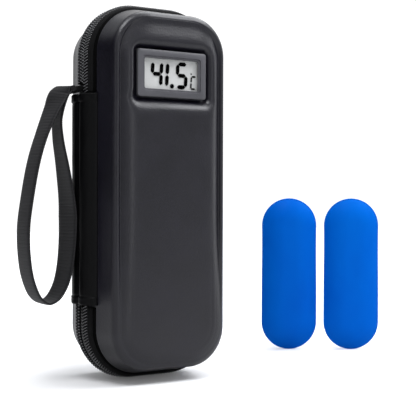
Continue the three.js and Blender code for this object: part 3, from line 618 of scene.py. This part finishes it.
rear_outer = Patch(REAR_GROOVE[0], *PLAIN)
rear_inner = Patch(16.0, *PLAIN)
REAR_RINGS = ring_spline([
    (12.55, 32.93), (12.1, 33.15), (11.6, 33.5), (11.05, 33.75), (10.45, 33.7), (9.85, 33.3), (9.4, 32.6),
    (9.0, 31.6), (8.7, 30.3), (8.2, 28.0), (7.5, 25.0), (6.7, 21.8), (5.8, 18.4), (4.9, 15.0), (4.1, 12.4),
    (3.55, 11.0), (3.15, 9.8),
], 40)
REAR_RINGS += [(2.85, 9.0), (2.7, 8.0), (2.7, 6.0), (2.72, 4.0)] + EDGE_ROLL
REAR_RINGS += ring_spline([(8.2, 6), (9.4, 15), (10.9, 24.0), (12.0, 27.4), (13.6, 29.0), (15.3, 29.6)], 10)
rear_depth = crown(rear_outer.inside, REAR_GROOVE[1], 3.4) + 0.2 * smoothstep(rear_outer.inside, 8, 34)
rear_shell = tray_piece("rear_cover", 1, rear_outer, rear_inner, rear_depth,
                        np.full(rear_inner.x.shape, 29.8), REAR_RINGS, LEATHER)


def lining_piece(name, side, floor, low, hole=None):
    """A thin tray of film that follows the inside of a shell."""
    inner_face = Patch(17.2, *PLAIN)
    outer_face = Patch(16.3, *PLAIN)
    wall = [(15.0, floor - 0.25), (13.2, floor - 1.3), (12.35, low), (9.75, low * 0.56), (8.5, low * 0.24),
            (8.0, 1.3)]
    puff = 0.12 * np.sin(inner_face.x * 0.33) * np.sin(inner_face.z * 0.33)
    inside = [(x + 0.85, d - (0.75 if k < 2 else 0.2)) for k, (x, d) in enumerate(wall[:-1])]
    rings = ring_spline(inside, 14)
    rings += [(8.75, 1.5), (8.5, 1.2), (8.1, 1.25)]
    rings += ring_spline(list(reversed(wall)), 14)
    return tray_piece(name, side, inner_face, outer_face, np.full(inner_face.x.shape, floor - 0.95) + puff,
                      np.full(outer_face.x.shape, floor - 0.05), rings, FOIL, hole)


lid_lining = lining_piece("lid_film", -1, 23.9, 20.6, HOLE)
rear_lining = lining_piece("rear_film", 1, 29.5, 26.4)

# Zip

ZIP_START = CORNER - 48.2
ZIP_END = PERIMETER - (176.0 - CORNER)
REAR_ZIP_END = PERIMETER - (182.4 - CORNER)
REAR_DRAWN = 1.1
TOOTH_PITCH = 1.85
TOOTH_TILT = math.radians(24)


def zip_strip(name, section, end, material, drawn=0.0):
    """A strip along the outline. section lists (inset, depth) with depth along +Y; above the foot
    the strip is drawn in by a further inset."""
    count = int((end - ZIP_START) / 2) + 1
    q = at_length(np.linspace(ZIP_START, end, count))
    rings = np.zeros((count, len(section), 3))
    for k, (inset, depth) in enumerate(section):
        x, z = outline(q, inset)
        if drawn:
            inner_x, inner_z = outline(q, inset + drawn)
            share = smoothstep(z, 40, 120)
            x, z = x + (inner_x - x) * share, z + (inner_z - z) * share
        rings[:, k] = np.stack([x, np.full(count, depth), z], 1)
    return sweep_piece(name, rings, material)


lid_tape = zip_strip("lid_tape", [
    (2.15, -4.35), (2.2, -4.75), (2.5, -5.4), (3.0, -6.3), (3.6, -7.1), (4.1, -7.55), (4.6, -7.5),
    (4.5, -7.0), (4.1, -6.4), (3.5, -5.4), (2.9, -4.35),
], ZIP_END, TAPE)
# A near-black strip along the join of the lid tape and the wall, reaching onto the wall's foot: painted
# shade for the dark gap there.
lid_gap_shade = zip_strip("lid_gap_shade", [
    (4.15, -7.2), (4.45, -7.9), (4.75, -8.8), (4.95, -9.7), (5.1, -10.4), (5.3, -10.5), (5.7, -9.6),
    (5.2, -7.6),
], ZIP_END, BED)
rear_tape = zip_strip("rear_tape", [
    (1.1, 3.7), (0.75, 4.3), (0.45, 5.4), (0.35, 7.0), (0.5, 8.6), (0.9, 9.35), (1.9, 9.4), (1.8, 3.7),
], REAR_ZIP_END, TAPE, REAR_DRAWN)
lid_bed = zip_strip("lid_coil_bed", [(2.9, -4.4), (2.35, -3.9), (1.55, -0.4), (2.55, -0.4), (3.2, -4.4)],
                    ZIP_END, BED)
rear_bed = zip_strip("rear_coil_bed", [(2.4, 3.7), (1.9, 3.4), (1.45, 0.3), (2.55, 0.3), (2.7, 3.7)],
                     REAR_ZIP_END, BED)


def bead(long, wide, high, around=8, rings=6):
    """A rounded bar centred on the origin, long in its first direction."""
    angle = np.linspace(-math.pi / 2, math.pi / 2, rings + 1)[:, None]
    turn = 2 * math.pi * np.arange(around) / around
    size = np.maximum(np.cos(angle), 0) ** 0.55
    along = np.sin(angle) * long / 2 + 0 * turn
    points = np.stack([along, size * np.cos(turn) * wide / 2, size * np.sin(turn) * high / 2], 2)
    return points.reshape(-1, 3), capped(rings + 1, around)


def bead_row(name, template, depth, inset, tilt, slope, start, end, material, drawn=0.0):
    """Copies of a bead along the outline; tilt leans each one along the run of the zip and
    slope sinks its far end into the case."""
    points, cell = template
    verts, faces = [], []
    side = math.copysign(1, depth)
    for k in range(int((end - start) / TOOTH_PITCH)):
        s = start + (k + 0.5) * TOOTH_PITCH
        q = at_length([s - 0.2, s, s + 0.2])
        x, z = outline(q, inset)
        x, z = outline(q, inset + drawn * smoothstep(z[1], 40, 120))
        run = np.array([x[2] - x[0], 0, z[2] - z[0]])
        run /= np.linalg.norm(run)
        out = np.array([run[2], 0, -run[0]])
        outward = np.array([0, side, 0]) - out * slope
        outward /= np.linalg.norm(outward)
        across = outward * math.cos(tilt) - run * math.sin(tilt)
        width = run * math.cos(tilt) + outward * math.sin(tilt)
        high = np.cross(across, width)
        high *= np.sign(high @ out)
        base = len(verts) * len(points)
        verts.append(np.array([x[1], depth, z[1]]) + points @ np.stack([across, width, high]))
        faces += [[base + i for i in face] for face in cell]
    return mesh_piece(name, np.vstack(verts), faces, material)


LONG_TOOTH, SHORT_TOOTH = bead(4.1, 0.88, 1.1), bead(3.1, 0.88, 1.1)
lid_teeth = bead_row("lid_teeth", LONG_TOOTH, -2.2, 1.75, TOOTH_TILT, 0.34, ZIP_START, ZIP_END, COIL)
rear_teeth = bead_row("rear_teeth", SHORT_TOOTH, 1.35, 1.45, TOOTH_TILT, 0.14, ZIP_START + TOOTH_PITCH / 2,
                      REAR_ZIP_END, COIL)
rear_stitches = bead_row("rear_stitches", bead(1.7, 1.0, 1.0, 6, 4), 4.6, 0.65, 0.0, 0.1, ZIP_START,
                         REAR_ZIP_END, THREAD, REAR_DRAWN)
edge_stitches = bead_row("edge_stitches", bead(1.4, 1.1, 1.0, 6, 4), 6.8, 0.3, 0.0, 0.0, ZIP_START + 1,
                         REAR_ZIP_END, THREAD, REAR_DRAWN)

# Spine cover

SPINE_LOW, SPINE_HIGH = 48.3, 176.4


def spine_piece():
    """Soft leather over the hinge side: two lobes, a crease, and a folded hem at each end."""
    outer = smooth_path([
        (-41.9, -11.8), (-43.9, -11.3), (-46.0, -9.8), (-47.9, -7.4), (-49.1, -4.9), (-49.45, -2.7),
        (-48.9, -0.4), (-48.4, 0.8), (-48.9, 2.0), (-49.7, 3.8), (-49.75, 6.0), (-49.3, 8.6), (-48.3, 11.4),
        (-46.8, 13.6), (-45.0, 15.0), (-43.9, 15.9),
    ], 54)
    normal = sideways(outer)
    normal *= -np.sign(normal[:, 0].sum())
    share = np.linspace(0, 1, len(outer))
    middle = np.sin(np.pi * share) ** 0.5
    levels = np.concatenate([
        np.linspace(SPINE_LOW, SPINE_LOW + 7, 22), np.linspace(SPINE_LOW + 7.7, SPINE_HIGH - 7.7, 100),
        np.linspace(SPINE_HIGH - 7, SPINE_HIGH, 22),
    ])
    rings = []
    for z in levels:
        end = min(z - SPINE_LOW, SPINE_HIGH - z)
        hem = smoothstep(end, 5.4, 4.4) * 0.55
        hem -= 0.45 * math.exp(-((end - 5.1) / 0.42) ** 2)
        roll = 0.5 * (1 - min(end / 0.8, 1.0)) ** 2
        pucker = math.exp(-end / 7) * 0.30
        lift = []
        for k, s in enumerate(share):
            fold = noise.noise(Vector((s * 9.0, z * 0.42, 3.1))) * pucker
            drape = 0.35 * noise.noise(Vector((s * 3.2, z * 0.035, 8.4)))
            drape += 0.16 * noise.noise(Vector((s * 7.0, z * 0.09, 1.7)))
            lift.append((hem - roll + fold + drape) * middle[k])
        face = outer + normal * np.array(lift)[:, None]
        back = outer - normal * (1.1 * middle + 0.12)[:, None]
        ring = np.vstack([face, back[::-1]])
        rings.append(np.column_stack([ring[:, 0], ring[:, 1], np.full(len(ring), z)]))
    return sweep_piece("spine_wrap", rings, SPINE_LEATHER)


spine = spine_piece()

# Wrist strap

ANCHOR = (-52.25, 179.8)
STRAP_PATH = [
    (0.0, 0.92), (-2.26, 2.09), (-5.36, -0.78), (-9.02, -9.14), (-14.5, -22.45), (-21.15, -42.4),
    (-26.6, -71.1), (-28.2, -84.8), (-27.8, -101.1), (-25.2, -116.1), (-20.3, -126.8), (-14.9, -130.5),
    (-9.6, -128.5), (-4.5, -121.4), (-1.3, -110.9), (0.85, -89.4), (0.56, -70.5), (-2.5, -48.3),
    (-5.6, -30.4), (-6.2, -20.4), (-4.1, -8.7), (-1.97, -3.1), (0.0, -0.92),
]
STRAP_MIDDLE, STRAP_WIDTH, STRAP_THICK, BAR_RADIUS = 10.8, 20.0, 1.5, 1.75
TWIST_AT = [0, 0.008, 0.022, 0.04, 0.06, 0.09, 0.13, 0.4, 0.5, 0.6, 0.72, 0.86, 0.93, 1]
TWIST_DEGREES = [0, -5, -15, -13, -8, -4, -1, 0, 0, 5, 9, -3, -7, 0]


def strap_piece():
    """A ribbed ribbon along its loop, a little twisted where the photographed one is."""
    path = smooth_path([(ANCHOR[0] + x, ANCHOR[1] + z) for x, z in STRAP_PATH], 900)
    share = np.linspace(0, 1, len(path))
    length = np.linalg.norm(np.diff(path, axis=0), axis=1).sum()
    twist = np.interp(share, TWIST_AT, np.radians(TWIST_DEGREES))
    half = STRAP_WIDTH / 2
    across = np.linspace(-1, 1, 13)
    edge = 0.35 + 0.65 * np.sqrt(1 - np.abs(across) ** 10)
    round_way = half * np.concatenate([across, across[::-1]])
    rings, uv = [], []
    for k, ((x, z), (nx, nz)) in enumerate(zip(path, sideways(path))):
        s = share[k] * length
        flat = np.array([nx, 0, nz])
        wide = np.array([0, 1.0, 0]) * math.cos(twist[k]) + flat * math.sin(twist[k])
        thick = flat * math.cos(twist[k]) - np.array([0, 1.0, 0]) * math.sin(twist[k])
        ends = min(share[k], 1 - share[k]) * length
        drop = 0.8 * half * max(math.sin(-twist[k]), 0) * (share[k] < 0.2)
        ribbed = STRAP_THICK / 2 + 0.05 * math.sin(2 * math.pi * s / RIB_PITCH) * min(ends / 6, 1)
        face = ribbed * edge + 0.25 * min(ends / 15, 1) * (across**2 - 0.4)
        lift = np.concatenate([face, (face - 2 * ribbed * edge)[::-1]])
        centre = np.array([x, STRAP_MIDDLE, z - drop])
        rings.append(centre + np.outer(round_way, wide) + np.outer(lift, thick))
        uv += [(s, a) for a in round_way]
    return sweep_piece("strap_ribbon", rings, STRAP, uv=uv)


strap = strap_piece()
bar = circle(BAR_RADIUS, *ANCHOR, 28)
barrel = sweep_piece("strap_end", [[(x, y, z) for x, z in bar] for y in (0.8, 20.8)], STRAP)
sharpen(barrel, 50)
tab_edge = rounded(STRAP_WIDTH, 4.6, 0.5, STRAP_MIDDLE, -HALF_WIDTH)
tab = plate_piece("tab_webbing", [tab_edge], ANCHOR[1] - 1.6, ANCHOR[1] + 1.6, 0.4, TAPE,
                  lambda a, b, c: (b, a, c))

# Thermometer


def bezel_piece(sections):
    """A rounded rectangular ring from a closed profile of (width, height, radius, depth)."""
    rings = []
    for width, height, radius, depth in sections:
        rings.append([(x, -depth, z) for x, z in rounded(width, height, radius, 0, MODULE_Z)])
    made = sweep_piece("bezel", rings, HOUSING, closed=True)
    sharpen(made, 35)
    return made


bezel = bezel_piece([
    (48.0, 28.6, 1.7, 27.0), (48.0, 28.6, 1.7, 28.3), (47.7, 28.3, 1.6, 28.72), (47.2, 27.8, 1.5, 28.9),
    (41.4, 22.0, 2.1, 28.98), (40.5, 21.1, 1.9, 28.9), (40.2, 20.8, 1.8, 28.6), (40.1, 20.7, 1.7, 28.0),
    (38.4, 19.0, 1.3, 27.95), (37.9, 18.5, 1.1, 27.85), (37.8, 18.4, 1.0, 27.5), (37.8, 18.4, 1.0, 26.95),
    (42.8, 23.6, 0.5, 26.9), (42.8, 23.6, 0.5, 15.3), (45.4, 26.0, 0.8, 15.2), (45.6, 26.2, 0.9, 15.6),
    (45.6, 26.2, 0.9, 26.8),
])


SEGMENT_ENDS = {
    "a": (-1, 1, 1, 1), "b": (1, 0, 1, 1), "c": (1, -1, 1, 0), "d": (-1, -1, 1, -1),
    "e": (-1, -1, -1, 0), "f": (-1, 0, -1, 1), "g": (-1, 0, 1, 0),
}


def seven_segments(cx, cz, width, height, stroke, lit):
    """Bars of a digit, cut at 45 degrees where they meet."""
    gap, lean = 0.16, 0.06
    half_w, half_h = width / 2 - stroke / 2, height / 2 - stroke / 2
    bars = []
    for key in lit:
        x0, z0, x1, z1 = np.array(SEGMENT_ENDS[key]) * (half_w, half_h, half_w, half_h)
        run = np.array([x1 - x0, z1 - z0])
        size = np.linalg.norm(run)
        run /= size
        side = np.array([-run[1], run[0]]) * stroke / 2
        start, stop = np.array([x0, z0]) + run * gap, np.array([x1, z1]) - run * gap
        reach = run * stroke * 0.5
        points = [start, start + reach - side, stop - reach - side]
        points += [stop, stop - reach + side, start + reach + side]
        bars.append([(cx + p[0] + p[1] * lean, cz + p[1]) for p in points])
    return bars


def digits_piece():
    marks = []
    for cx, lit in ((-9.4, "fgbc"), (-5.2, "bc"), (8.2, "afgcd")):
        marks += seven_segments(cx, MODULE_Z, 8.6, 16.4, 2.4, lit)
    marks.append(circle(1.4, 1.3, MODULE_Z - 6.8, 18))
    marks += seven_segments(16.6, MODULE_Z - 3.9, 4.3, 8.6, 1.05, "afed")
    marks.append(circle(0.5, 15.0, MODULE_Z + 1.5, 12))
    verts, faces = [], []
    for mark in marks:
        n, base = len(mark), len(verts)
        verts += [(x, -25.82, z) for x, z in mark] + [(x, -25.76, z) for x, z in mark]
        faces += [[base + i for i in face] for face in capped(2, n)]
    return mesh_piece("display_digits", verts, faces, SEGMENT, smooth=False)


digits = digits_piece()

# Zip sliders and pulls


def slider_piece(name, end, centre):
    """Bevelled outer plate with a waisted tail and rolled sides, and its bridge."""
    nose, tail = -end * 7.5, end * 7.5
    points = smooth_path([
        (3.2, nose), (4.35, nose * 0.86), (4.7, nose * 0.45), (4.55, 0), (4.0, tail * 0.5),
        (3.7, tail * 0.85), (3.0, tail),
    ], 16)
    whole = [tuple(p) for p in points] + [(-x, z) for x, z in points[::-1]]
    plate = plate_piece(name + "_plate", [whole], 47.85, 49.6, 0.45, GUNMETAL,
                        lambda a, b, c: (c, a, b + centre))
    arch = [(49.3, -3.2), (51.4, -3.2), (53.3, -1.7), (53.3, 1.7), (51.4, 3.2), (49.3, 3.2)]
    inner = [(49.3, 2.0), (51.2, 2.0), (52.1, 1.1), (52.1, -1.1), (51.2, -2.0), (49.3, -2.0)]
    bridge = plate_piece(name + "_bridge", [arch + inner], -1.5, 1.5, 0.22, GUNMETAL,
                         lambda a, b, c: (a, c, b + centre + end * 3))
    bridge.parent = plate
    return plate


def pull_piece(name, pivot):
    """A flat pull with an eye, a raised rim and a round hole at its tip."""
    def place(a, b, c):
        return 50.85 + c, a, b - 7.2 + pivot

    outlines = [rounded(7.6, 16.0, 2.2, 0, 0, 8), rounded(4.4, 4.4, 0.6, 0, 4.2, 4), circle(1.1, 0, -4.7)]
    made = plate_piece(name, outlines, -0.7, 0.7, 0.3, GUNMETAL, place)
    panel = [rounded(4.6, 5.4, 1.3, 0, -0.35)]
    plate_piece(name + "_panel", panel, 0.55, 0.82, 0.12, GUNMETAL, place).parent = made
    return made


slider_upper = slider_piece("upper_slider_metal", 1, 136.2)
slider_lower = slider_piece("lower_slider_metal", -1, 120.6)
pull_upper = pull_piece("upper_pull_metal", 139.2)
pull_lower = pull_piece("lower_pull_metal", 117.6)

# What the case holds


SLEEVE_FOOT, SLEEVE_FLOOR, SLEEVE_BULGE = 33.0, -22.6, 12.6
SLEEVE_ACROSS = np.array([0, 0.25, 0.5, 0.7, 0.82, 0.9, 0.97, 1])
SLEEVE_RISE = [1, 1, 0.99, 0.93, 0.78, 0.5, 0.14, 0]


def sleeve_piece():
    """Knitted pocket in the lid that bulges over an ice pack."""
    across = np.concatenate([-SLEEVE_ACROSS[:0:-1], SLEEVE_ACROSS])
    rise = np.interp(np.abs(across), SLEEVE_ACROSS, SLEEVE_RISE)
    up = np.concatenate([np.linspace(0, 0.3, 16), np.linspace(0.33, 1, 26)])
    rings = []
    for u in up:
        bulge = 1 - math.exp(-((u / 0.09) ** 1.2)) if u > 0 else 0.0
        z = SLEEVE_FOOT + u * 97.0
        near, far = [], []
        for a, r in zip(across, rise):
            fold = 0.35 * noise.noise(Vector((a * 2.2, z * 0.05, 5.0))) * bulge * r
            y = SLEEVE_FLOOR + r * bulge * SLEEVE_BULGE
            near.append((a * 30, y, z))
            far.append((a * 30 * (1 - 0.004), y + 0.95 + fold, z))
        rings.append(near + far[::-1])
    return sweep_piece("sleeve_knit", rings, KNIT)


def binding_piece():
    section = [(0.05, 130.3), (-0.05, 132.8), (0.05, 135.2), (0.8, 135.45), (1.6, 135.0), (1.7, 132.8),
               (1.6, 130.5), (0.8, 130.2)]
    rings = []
    for a in np.linspace(-1, 1, 31):
        y = SLEEVE_FLOOR + SLEEVE_BULGE * np.interp(abs(a), SLEEVE_ACROSS, SLEEVE_RISE)
        rings.append([(a * 29.9, y + lift, z) for lift, z in section])
    return sweep_piece("sleeve_edge", rings, ELASTIC)


BOARD_FACE, LOOP_PITCH, LOOP_HALF, LOOP_RISE = 25.5, 19.6, 7.5, 13.8


def band_piece(name, z0):
    """Elastic band sewn down between its three pen loops."""
    section = [(0.15, -13), (0.0, -12.4), (0.0, 0), (0.0, 12.4), (0.15, 13), (0.95, 13), (1.1, 12.4),
               (1.1, 0), (1.1, -12.4), (0.95, -13)]
    line = [(-29.4, 0.0)]
    for centre in (-LOOP_PITCH, 0, LOOP_PITCH):
        for angle in np.linspace(0, math.pi, 19):
            line.append((centre - LOOP_HALF * math.cos(angle), LOOP_RISE * max(math.sin(angle), 0) ** 0.5))
    line = smooth_path(line + [(29.4, 0.0)], 150)
    rings = []
    for (x, rise), (nx, ny) in zip(line, sideways(line)):
        rings.append([(x + nx * lift, BOARD_FACE - (rise + ny * lift), z0 + z) for lift, z in section])
    return sweep_piece(name, rings, ELASTIC)


sleeve = sleeve_piece()
binding = binding_piece()
band_low = band_piece("loops_lower", 71.05)
band_high = band_piece("loops_upper", 155.9)
board = plate_piece("pen_panel", [rounded(61.0, 192.9, 16.0, 0, MIDDLE, 12)], 25.8, 28.2, 0.7, KNIT,
                    lambda a, b, c: (a, c, b))


PACK_HALF, PACK_HEIGHT, PACK_THICK, PACK_TURN = 20.6, 113.5, 5.9, math.radians(-32.3)
PACK_ARC, PACK_SIDE = 28, 26


def pack_piece(name, x, y):
    """A plump gel pack: a rounded oblong whose faces swell between its welded edges."""
    low, high = PACK_HALF, PACK_HEIGHT - PACK_HALF
    round_way = []
    for turn, (start, stop) in enumerate(((low, high), (high, low))):
        for step in range(PACK_ARC + 1):
            angle = math.pi * (1 + turn + step / PACK_ARC)
            round_way.append((math.cos(angle), math.sin(angle), start))
        for step in range(1, PACK_SIDE):
            round_way.append((math.cos(angle), 0.0, start + (stop - start) * step / PACK_SIDE))
    levels = [(0, 0.0), (0.1, 0.04), (0.5, 0.075), (0.9, 0.085), (1.15, 0.10)]
    for inset in np.linspace(1.35, 16.5, 34):
        levels.append((inset, 0.13 + 0.87 * (1 - (1 - min((inset - 1.3) / 16.5, 1.0)) ** 2.3)))
    faces_of = []
    for side in (-1, 1):
        rings = []
        for inset, rise in levels:
            ring = []
            for across, up, centre in round_way:
                px, pz = (PACK_HALF - inset) * across, centre + (PACK_HALF - inset) * up
                wave = noise.noise(Vector((px * 0.05, pz * 0.03, 2.0 + side))) * 0.28 * min(inset / 8, 1)
                waist = 1 - 0.012 * math.exp(-((pz - 78) / 24) ** 2)
                ring.append((px * waist, side * rise * (PACK_THICK + wave), pz))
            rings.append(ring)
        faces_of.append(rings)
    stack = np.array(faces_of[0][::-1] + faces_of[1][1:])
    rows, columns = stack.shape[:2]
    first = list(range(columns))
    faces = quads(rows, columns).tolist() + cap_faces(first)
    faces += [face[::-1] for face in cap_faces([(rows - 1) * columns + i for i in first])]
    px, py, pz = stack.reshape(-1, 3).T
    c, s = math.cos(PACK_TURN), math.sin(PACK_TURN)
    return mesh_piece(name, np.stack([x + px * c - py * s, y + px * s + py * c, pz], 1), faces, GEL)


def cap_faces(ring):
    """Quads across the narrow middle of a pack, from its left edge to its right edge."""
    half = PACK_ARC // 2
    turn = PACK_ARC + PACK_SIDE + half
    left, right = ring[: half + 1][::-1] + ring[turn:][::-1], ring[half : turn + 1]
    return [list(dict.fromkeys(face)) for face in zip(left, right, right[1:], left[1:])]


near_pack = pack_piece("gel_pack_near", 186.3, 23.2)
far_pack = pack_piece("gel_pack_far", 146.9, 48.2)

# Frame: riding and replacing


RIDERS = {
    "lid": [
        (lid_shell, "shell_leather", "lid_shell"), (lid_lining, "lining_foil", "lid_lining"),
        (lid_tape, "tape_weave", "lid_zip_tape"), (lid_bed, "tape_weave"), (lid_gap_shade, "tape_weave"),
        (lid_teeth, "coil_plastic", "lid_zip_coil"), (bezel, "housing_plastic", "display_housing"),
        (digits, "dark_plastic"), (sleeve, "inner_knit", "pack_sleeve"),
        (binding, "elastic", "sleeve_binding"),
    ],
    "rear_half": [
        (rear_shell, "shell_leather", "rear_shell"), (rear_lining, "lining_foil", "rear_lining"),
        (rear_tape, "tape_weave", "rear_zip_tape"), (rear_bed, "tape_weave"),
        (rear_teeth, "coil_plastic", "rear_zip_coil"), (rear_stitches, "tape_weave"),
        (edge_stitches, "tape_weave"), (tab, "strap_webbing", "strap_tab"),
        (band_low, "elastic", "pen_band_lower"), (band_high, "elastic", "pen_band_upper"),
        (board, "inner_knit", "pen_board"),
    ],
    "strap": [(strap, "strap_webbing", "wrist_strap"), (barrel, "strap_webbing")],
    "slider_upper": [(slider_upper, "zip_metal", "upper_slider")],
    "slider_lower": [(slider_lower, "zip_metal", "lower_slider")],
    "pull_upper": [(pull_upper, "zip_metal", "upper_pull")],
    "pull_lower": [(pull_lower, "zip_metal", "lower_pull")],
    "pack_near": [(near_pack, "pack_blue", "ice_pack_near")],
    "pack_far": [(far_pack, "pack_blue", "ice_pack_far")],
}
for body, pieces in RIDERS.items():
    for piece, slot, *nodes in pieces:
        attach(piece, body)
        if nodes:
            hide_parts(*nodes)

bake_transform(spine)
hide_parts("spine_cover")

FINISHES = (
    (LENS, "display_lens"), (LCD, "lcd_panel"), (RUBBER, "rubber_connector"), (BOARD, "circuit_board"),
    (PLATED, "cell_contact_left", "cell_contact_right", "button_cell_left", "button_cell_right"),
    (HOUSING_INNER, "driver_chip", "housing_back", "battery_door", "temperature_probe"),
)
for finish, *nodes in FINISHES:
    for node in nodes:
        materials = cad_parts[node].data.materials
        materials.clear()
        materials.append(finish)

# Floor, light and camera


def seen_by(tree, *rays):
    """One for the named kinds of ray and nought for the rest."""
    path = tree.nodes.new("ShaderNodeLightPath")
    result = path.outputs[rays[0]]
    for ray in rays[1:]:
        either = tree.nodes.new("ShaderNodeMath")
        either.operation = "MAXIMUM"
        tree.links.new(result, either.inputs[0])
        tree.links.new(path.outputs[ray], either.inputs[1])
        result = either.outputs[0]
    return result


def paper(name, tint, white, near, far, share):
    """Studio paper, white to the camera and tinted for the rest, with a glow near the case and
    far from it, and a share of that glow for what mirrors the paper. Its shadows stay in."""
    made = Surface(name, roughness=0.9, specular=0.1)
    made.colour(seen_by(made.material.node_tree, "Is Camera Ray"), (0, tint), (1, white))
    made.set("Emission Color", (1, 1, 1, 1))
    away = made.nodes.new("ShaderNodeVectorMath")
    away.operation = "LENGTH"
    made.links.new(made.place, away.inputs[0])
    glow = made.ranged(away.outputs["Value"], 0.3, 1.6, near, far)
    tree = made.material.node_tree
    mirrored = made.mathed("MULTIPLY", seen_by(tree, "Is Glossy Ray", "Is Transmission Ray"), share)
    seen = made.mathed("ADD", seen_by(tree, "Is Camera Ray"), mirrored)
    made.links.new(made.mathed("MULTIPLY", seen, glow), made.shader.inputs["Emission Strength"])
    return made.material


def sheet_of_paper(name, corners, material):
    mesh = bpy.data.meshes.new(name)
    mesh.from_pydata(corners, [], [(0, 1, 2, 3)])
    made = link(name, mesh, material)
    return made


sheet_of_paper("floor", [(-6, -6, 0), (6, -6, 0), (6, 6, 0), (-6, 6, 0)],
               paper("floor_paper", "#cfcfcf", "#f8f8f8", 0.07, 0.84, 0.15))
backdrop = sheet_of_paper(
    "backdrop", [(0.2, 2.6, 0.001), (3.4, 2.6, 0.001), (3.4, 2.6, 2.6), (0.2, 2.6, 2.6)],
    paper("backdrop_paper", "#808080", "#808080", 1.02, 1.02, 1.0))
backdrop.visible_shadow = backdrop.visible_diffuse = False

world = bpy.data.worlds.new("studio")
scene.world = world
world.use_nodes = True
tree = world.node_tree
tree.nodes.clear()
plain = tree.nodes.new("ShaderNodeBackground")
plain.inputs["Color"].default_value = (0.95, 0.97, 1.0, 1)
heading = tree.nodes.new("ShaderNodeVectorMath")
heading.operation = "DOT_PRODUCT"
heading.inputs[1].default_value = (-0.85, 0.28, -0.45)
dusk = tree.nodes.new("ShaderNodeMapRange")
dusk.interpolation_type = "SMOOTHSTEP"
set_range(dusk, 0.30, 0.54, 0.60, 0.0)
tree.links.new(tree.nodes.new("ShaderNodeTexCoord").outputs["Generated"], heading.inputs[0])
tree.links.new(heading.outputs["Value"], dusk.inputs["Value"])
tree.links.new(dusk.outputs["Result"], plain.inputs["Strength"])
white = tree.nodes.new("ShaderNodeBackground")
white.inputs["Color"].default_value = (1, 1, 1, 1)
white.inputs["Strength"].default_value = 1.02
mix = tree.nodes.new("ShaderNodeMixShader")
out = tree.nodes.new("ShaderNodeOutputWorld")
tree.links.new(seen_by(tree, "Is Camera Ray", "Is Transmission Ray"), mix.inputs["Fac"])
tree.links.new(plain.outputs[0], mix.inputs[1])
tree.links.new(white.outputs[0], mix.inputs[2])
tree.links.new(mix.outputs[0], out.inputs["Surface"])


def lamp(name, place, aim, size, watts):
    data = bpy.data.lights.new(name, "AREA")
    data.shape, data.size, data.size_y = "RECTANGLE", size[0], size[1]
    data.energy, data.color = watts, (0.96, 0.97, 1.0)
    made = bpy.data.objects.new(name, data)
    scene.collection.objects.link(made)
    made.location = place
    made.rotation_mode = "QUATERNION"
    made.rotation_quaternion = (Vector(aim) - Vector(place)).to_track_quat("-Z", "Y")
    made.visible_camera = False


lamp("top", (0.55, 0.15, 1.15), (0.03, 0, 0.15), (0.9, 0.9), 10)
lamp("brow", (0.62, -0.50, 0.98), (0.03, 0, 0.2), (0.6, 0.5), 6.6)
lamp("crest", (-0.40, -0.42, 1.16), (0.0, 0, 0.2), (0.5, 0.5), 7.5)
lamp("front", (-0.14, -1.35, 0.22), (0.0, 0, 0.12), (0.22, 1.0), 1.6)
lamp("right", (1.15, -0.30, 0.40), (0.17, 0.03, 0.07), (0.3, 0.8), 1.6)
lamp("left", (-1.15, -0.40, 0.42), (0.0, 0, 0.12), (0.28, 0.9), 0.9)

FOCAL_LENGTH, SENSOR, DISTANCE, AIM = 86.54, 36.0, 0.6673, Vector((48.96, 7.9, 109.06))
AZIMUTH, ELEVATION, ROLL = math.radians(-32.33), math.radians(0.29), math.radians(0.16)

camera_data = bpy.data.cameras.new("camera")
camera_data.lens, camera_data.sensor_width = FOCAL_LENGTH, SENSOR
camera_data.clip_start, camera_data.clip_end = 0.02, 60.0
camera = bpy.data.objects.new("camera", camera_data)
scene.collection.objects.link(camera)
level = math.cos(ELEVATION)
back = Vector((math.sin(AZIMUTH) * level, -math.cos(AZIMUTH) * level, math.sin(ELEVATION)))
right = Vector((0, 0, 1)).cross(back).normalized()
up = back.cross(right)
turned_right = right * math.cos(ROLL) + up * math.sin(ROLL)
turned_up = up * math.cos(ROLL) - right * math.sin(ROLL)
camera.location = AIM * MM + back * DISTANCE
camera.rotation_mode = "QUATERNION"
camera.rotation_quaternion = Matrix((turned_right, turned_up, back)).transposed().to_quaternion()
scene.camera = camera

scene.view_settings.view_transform = "Standard"
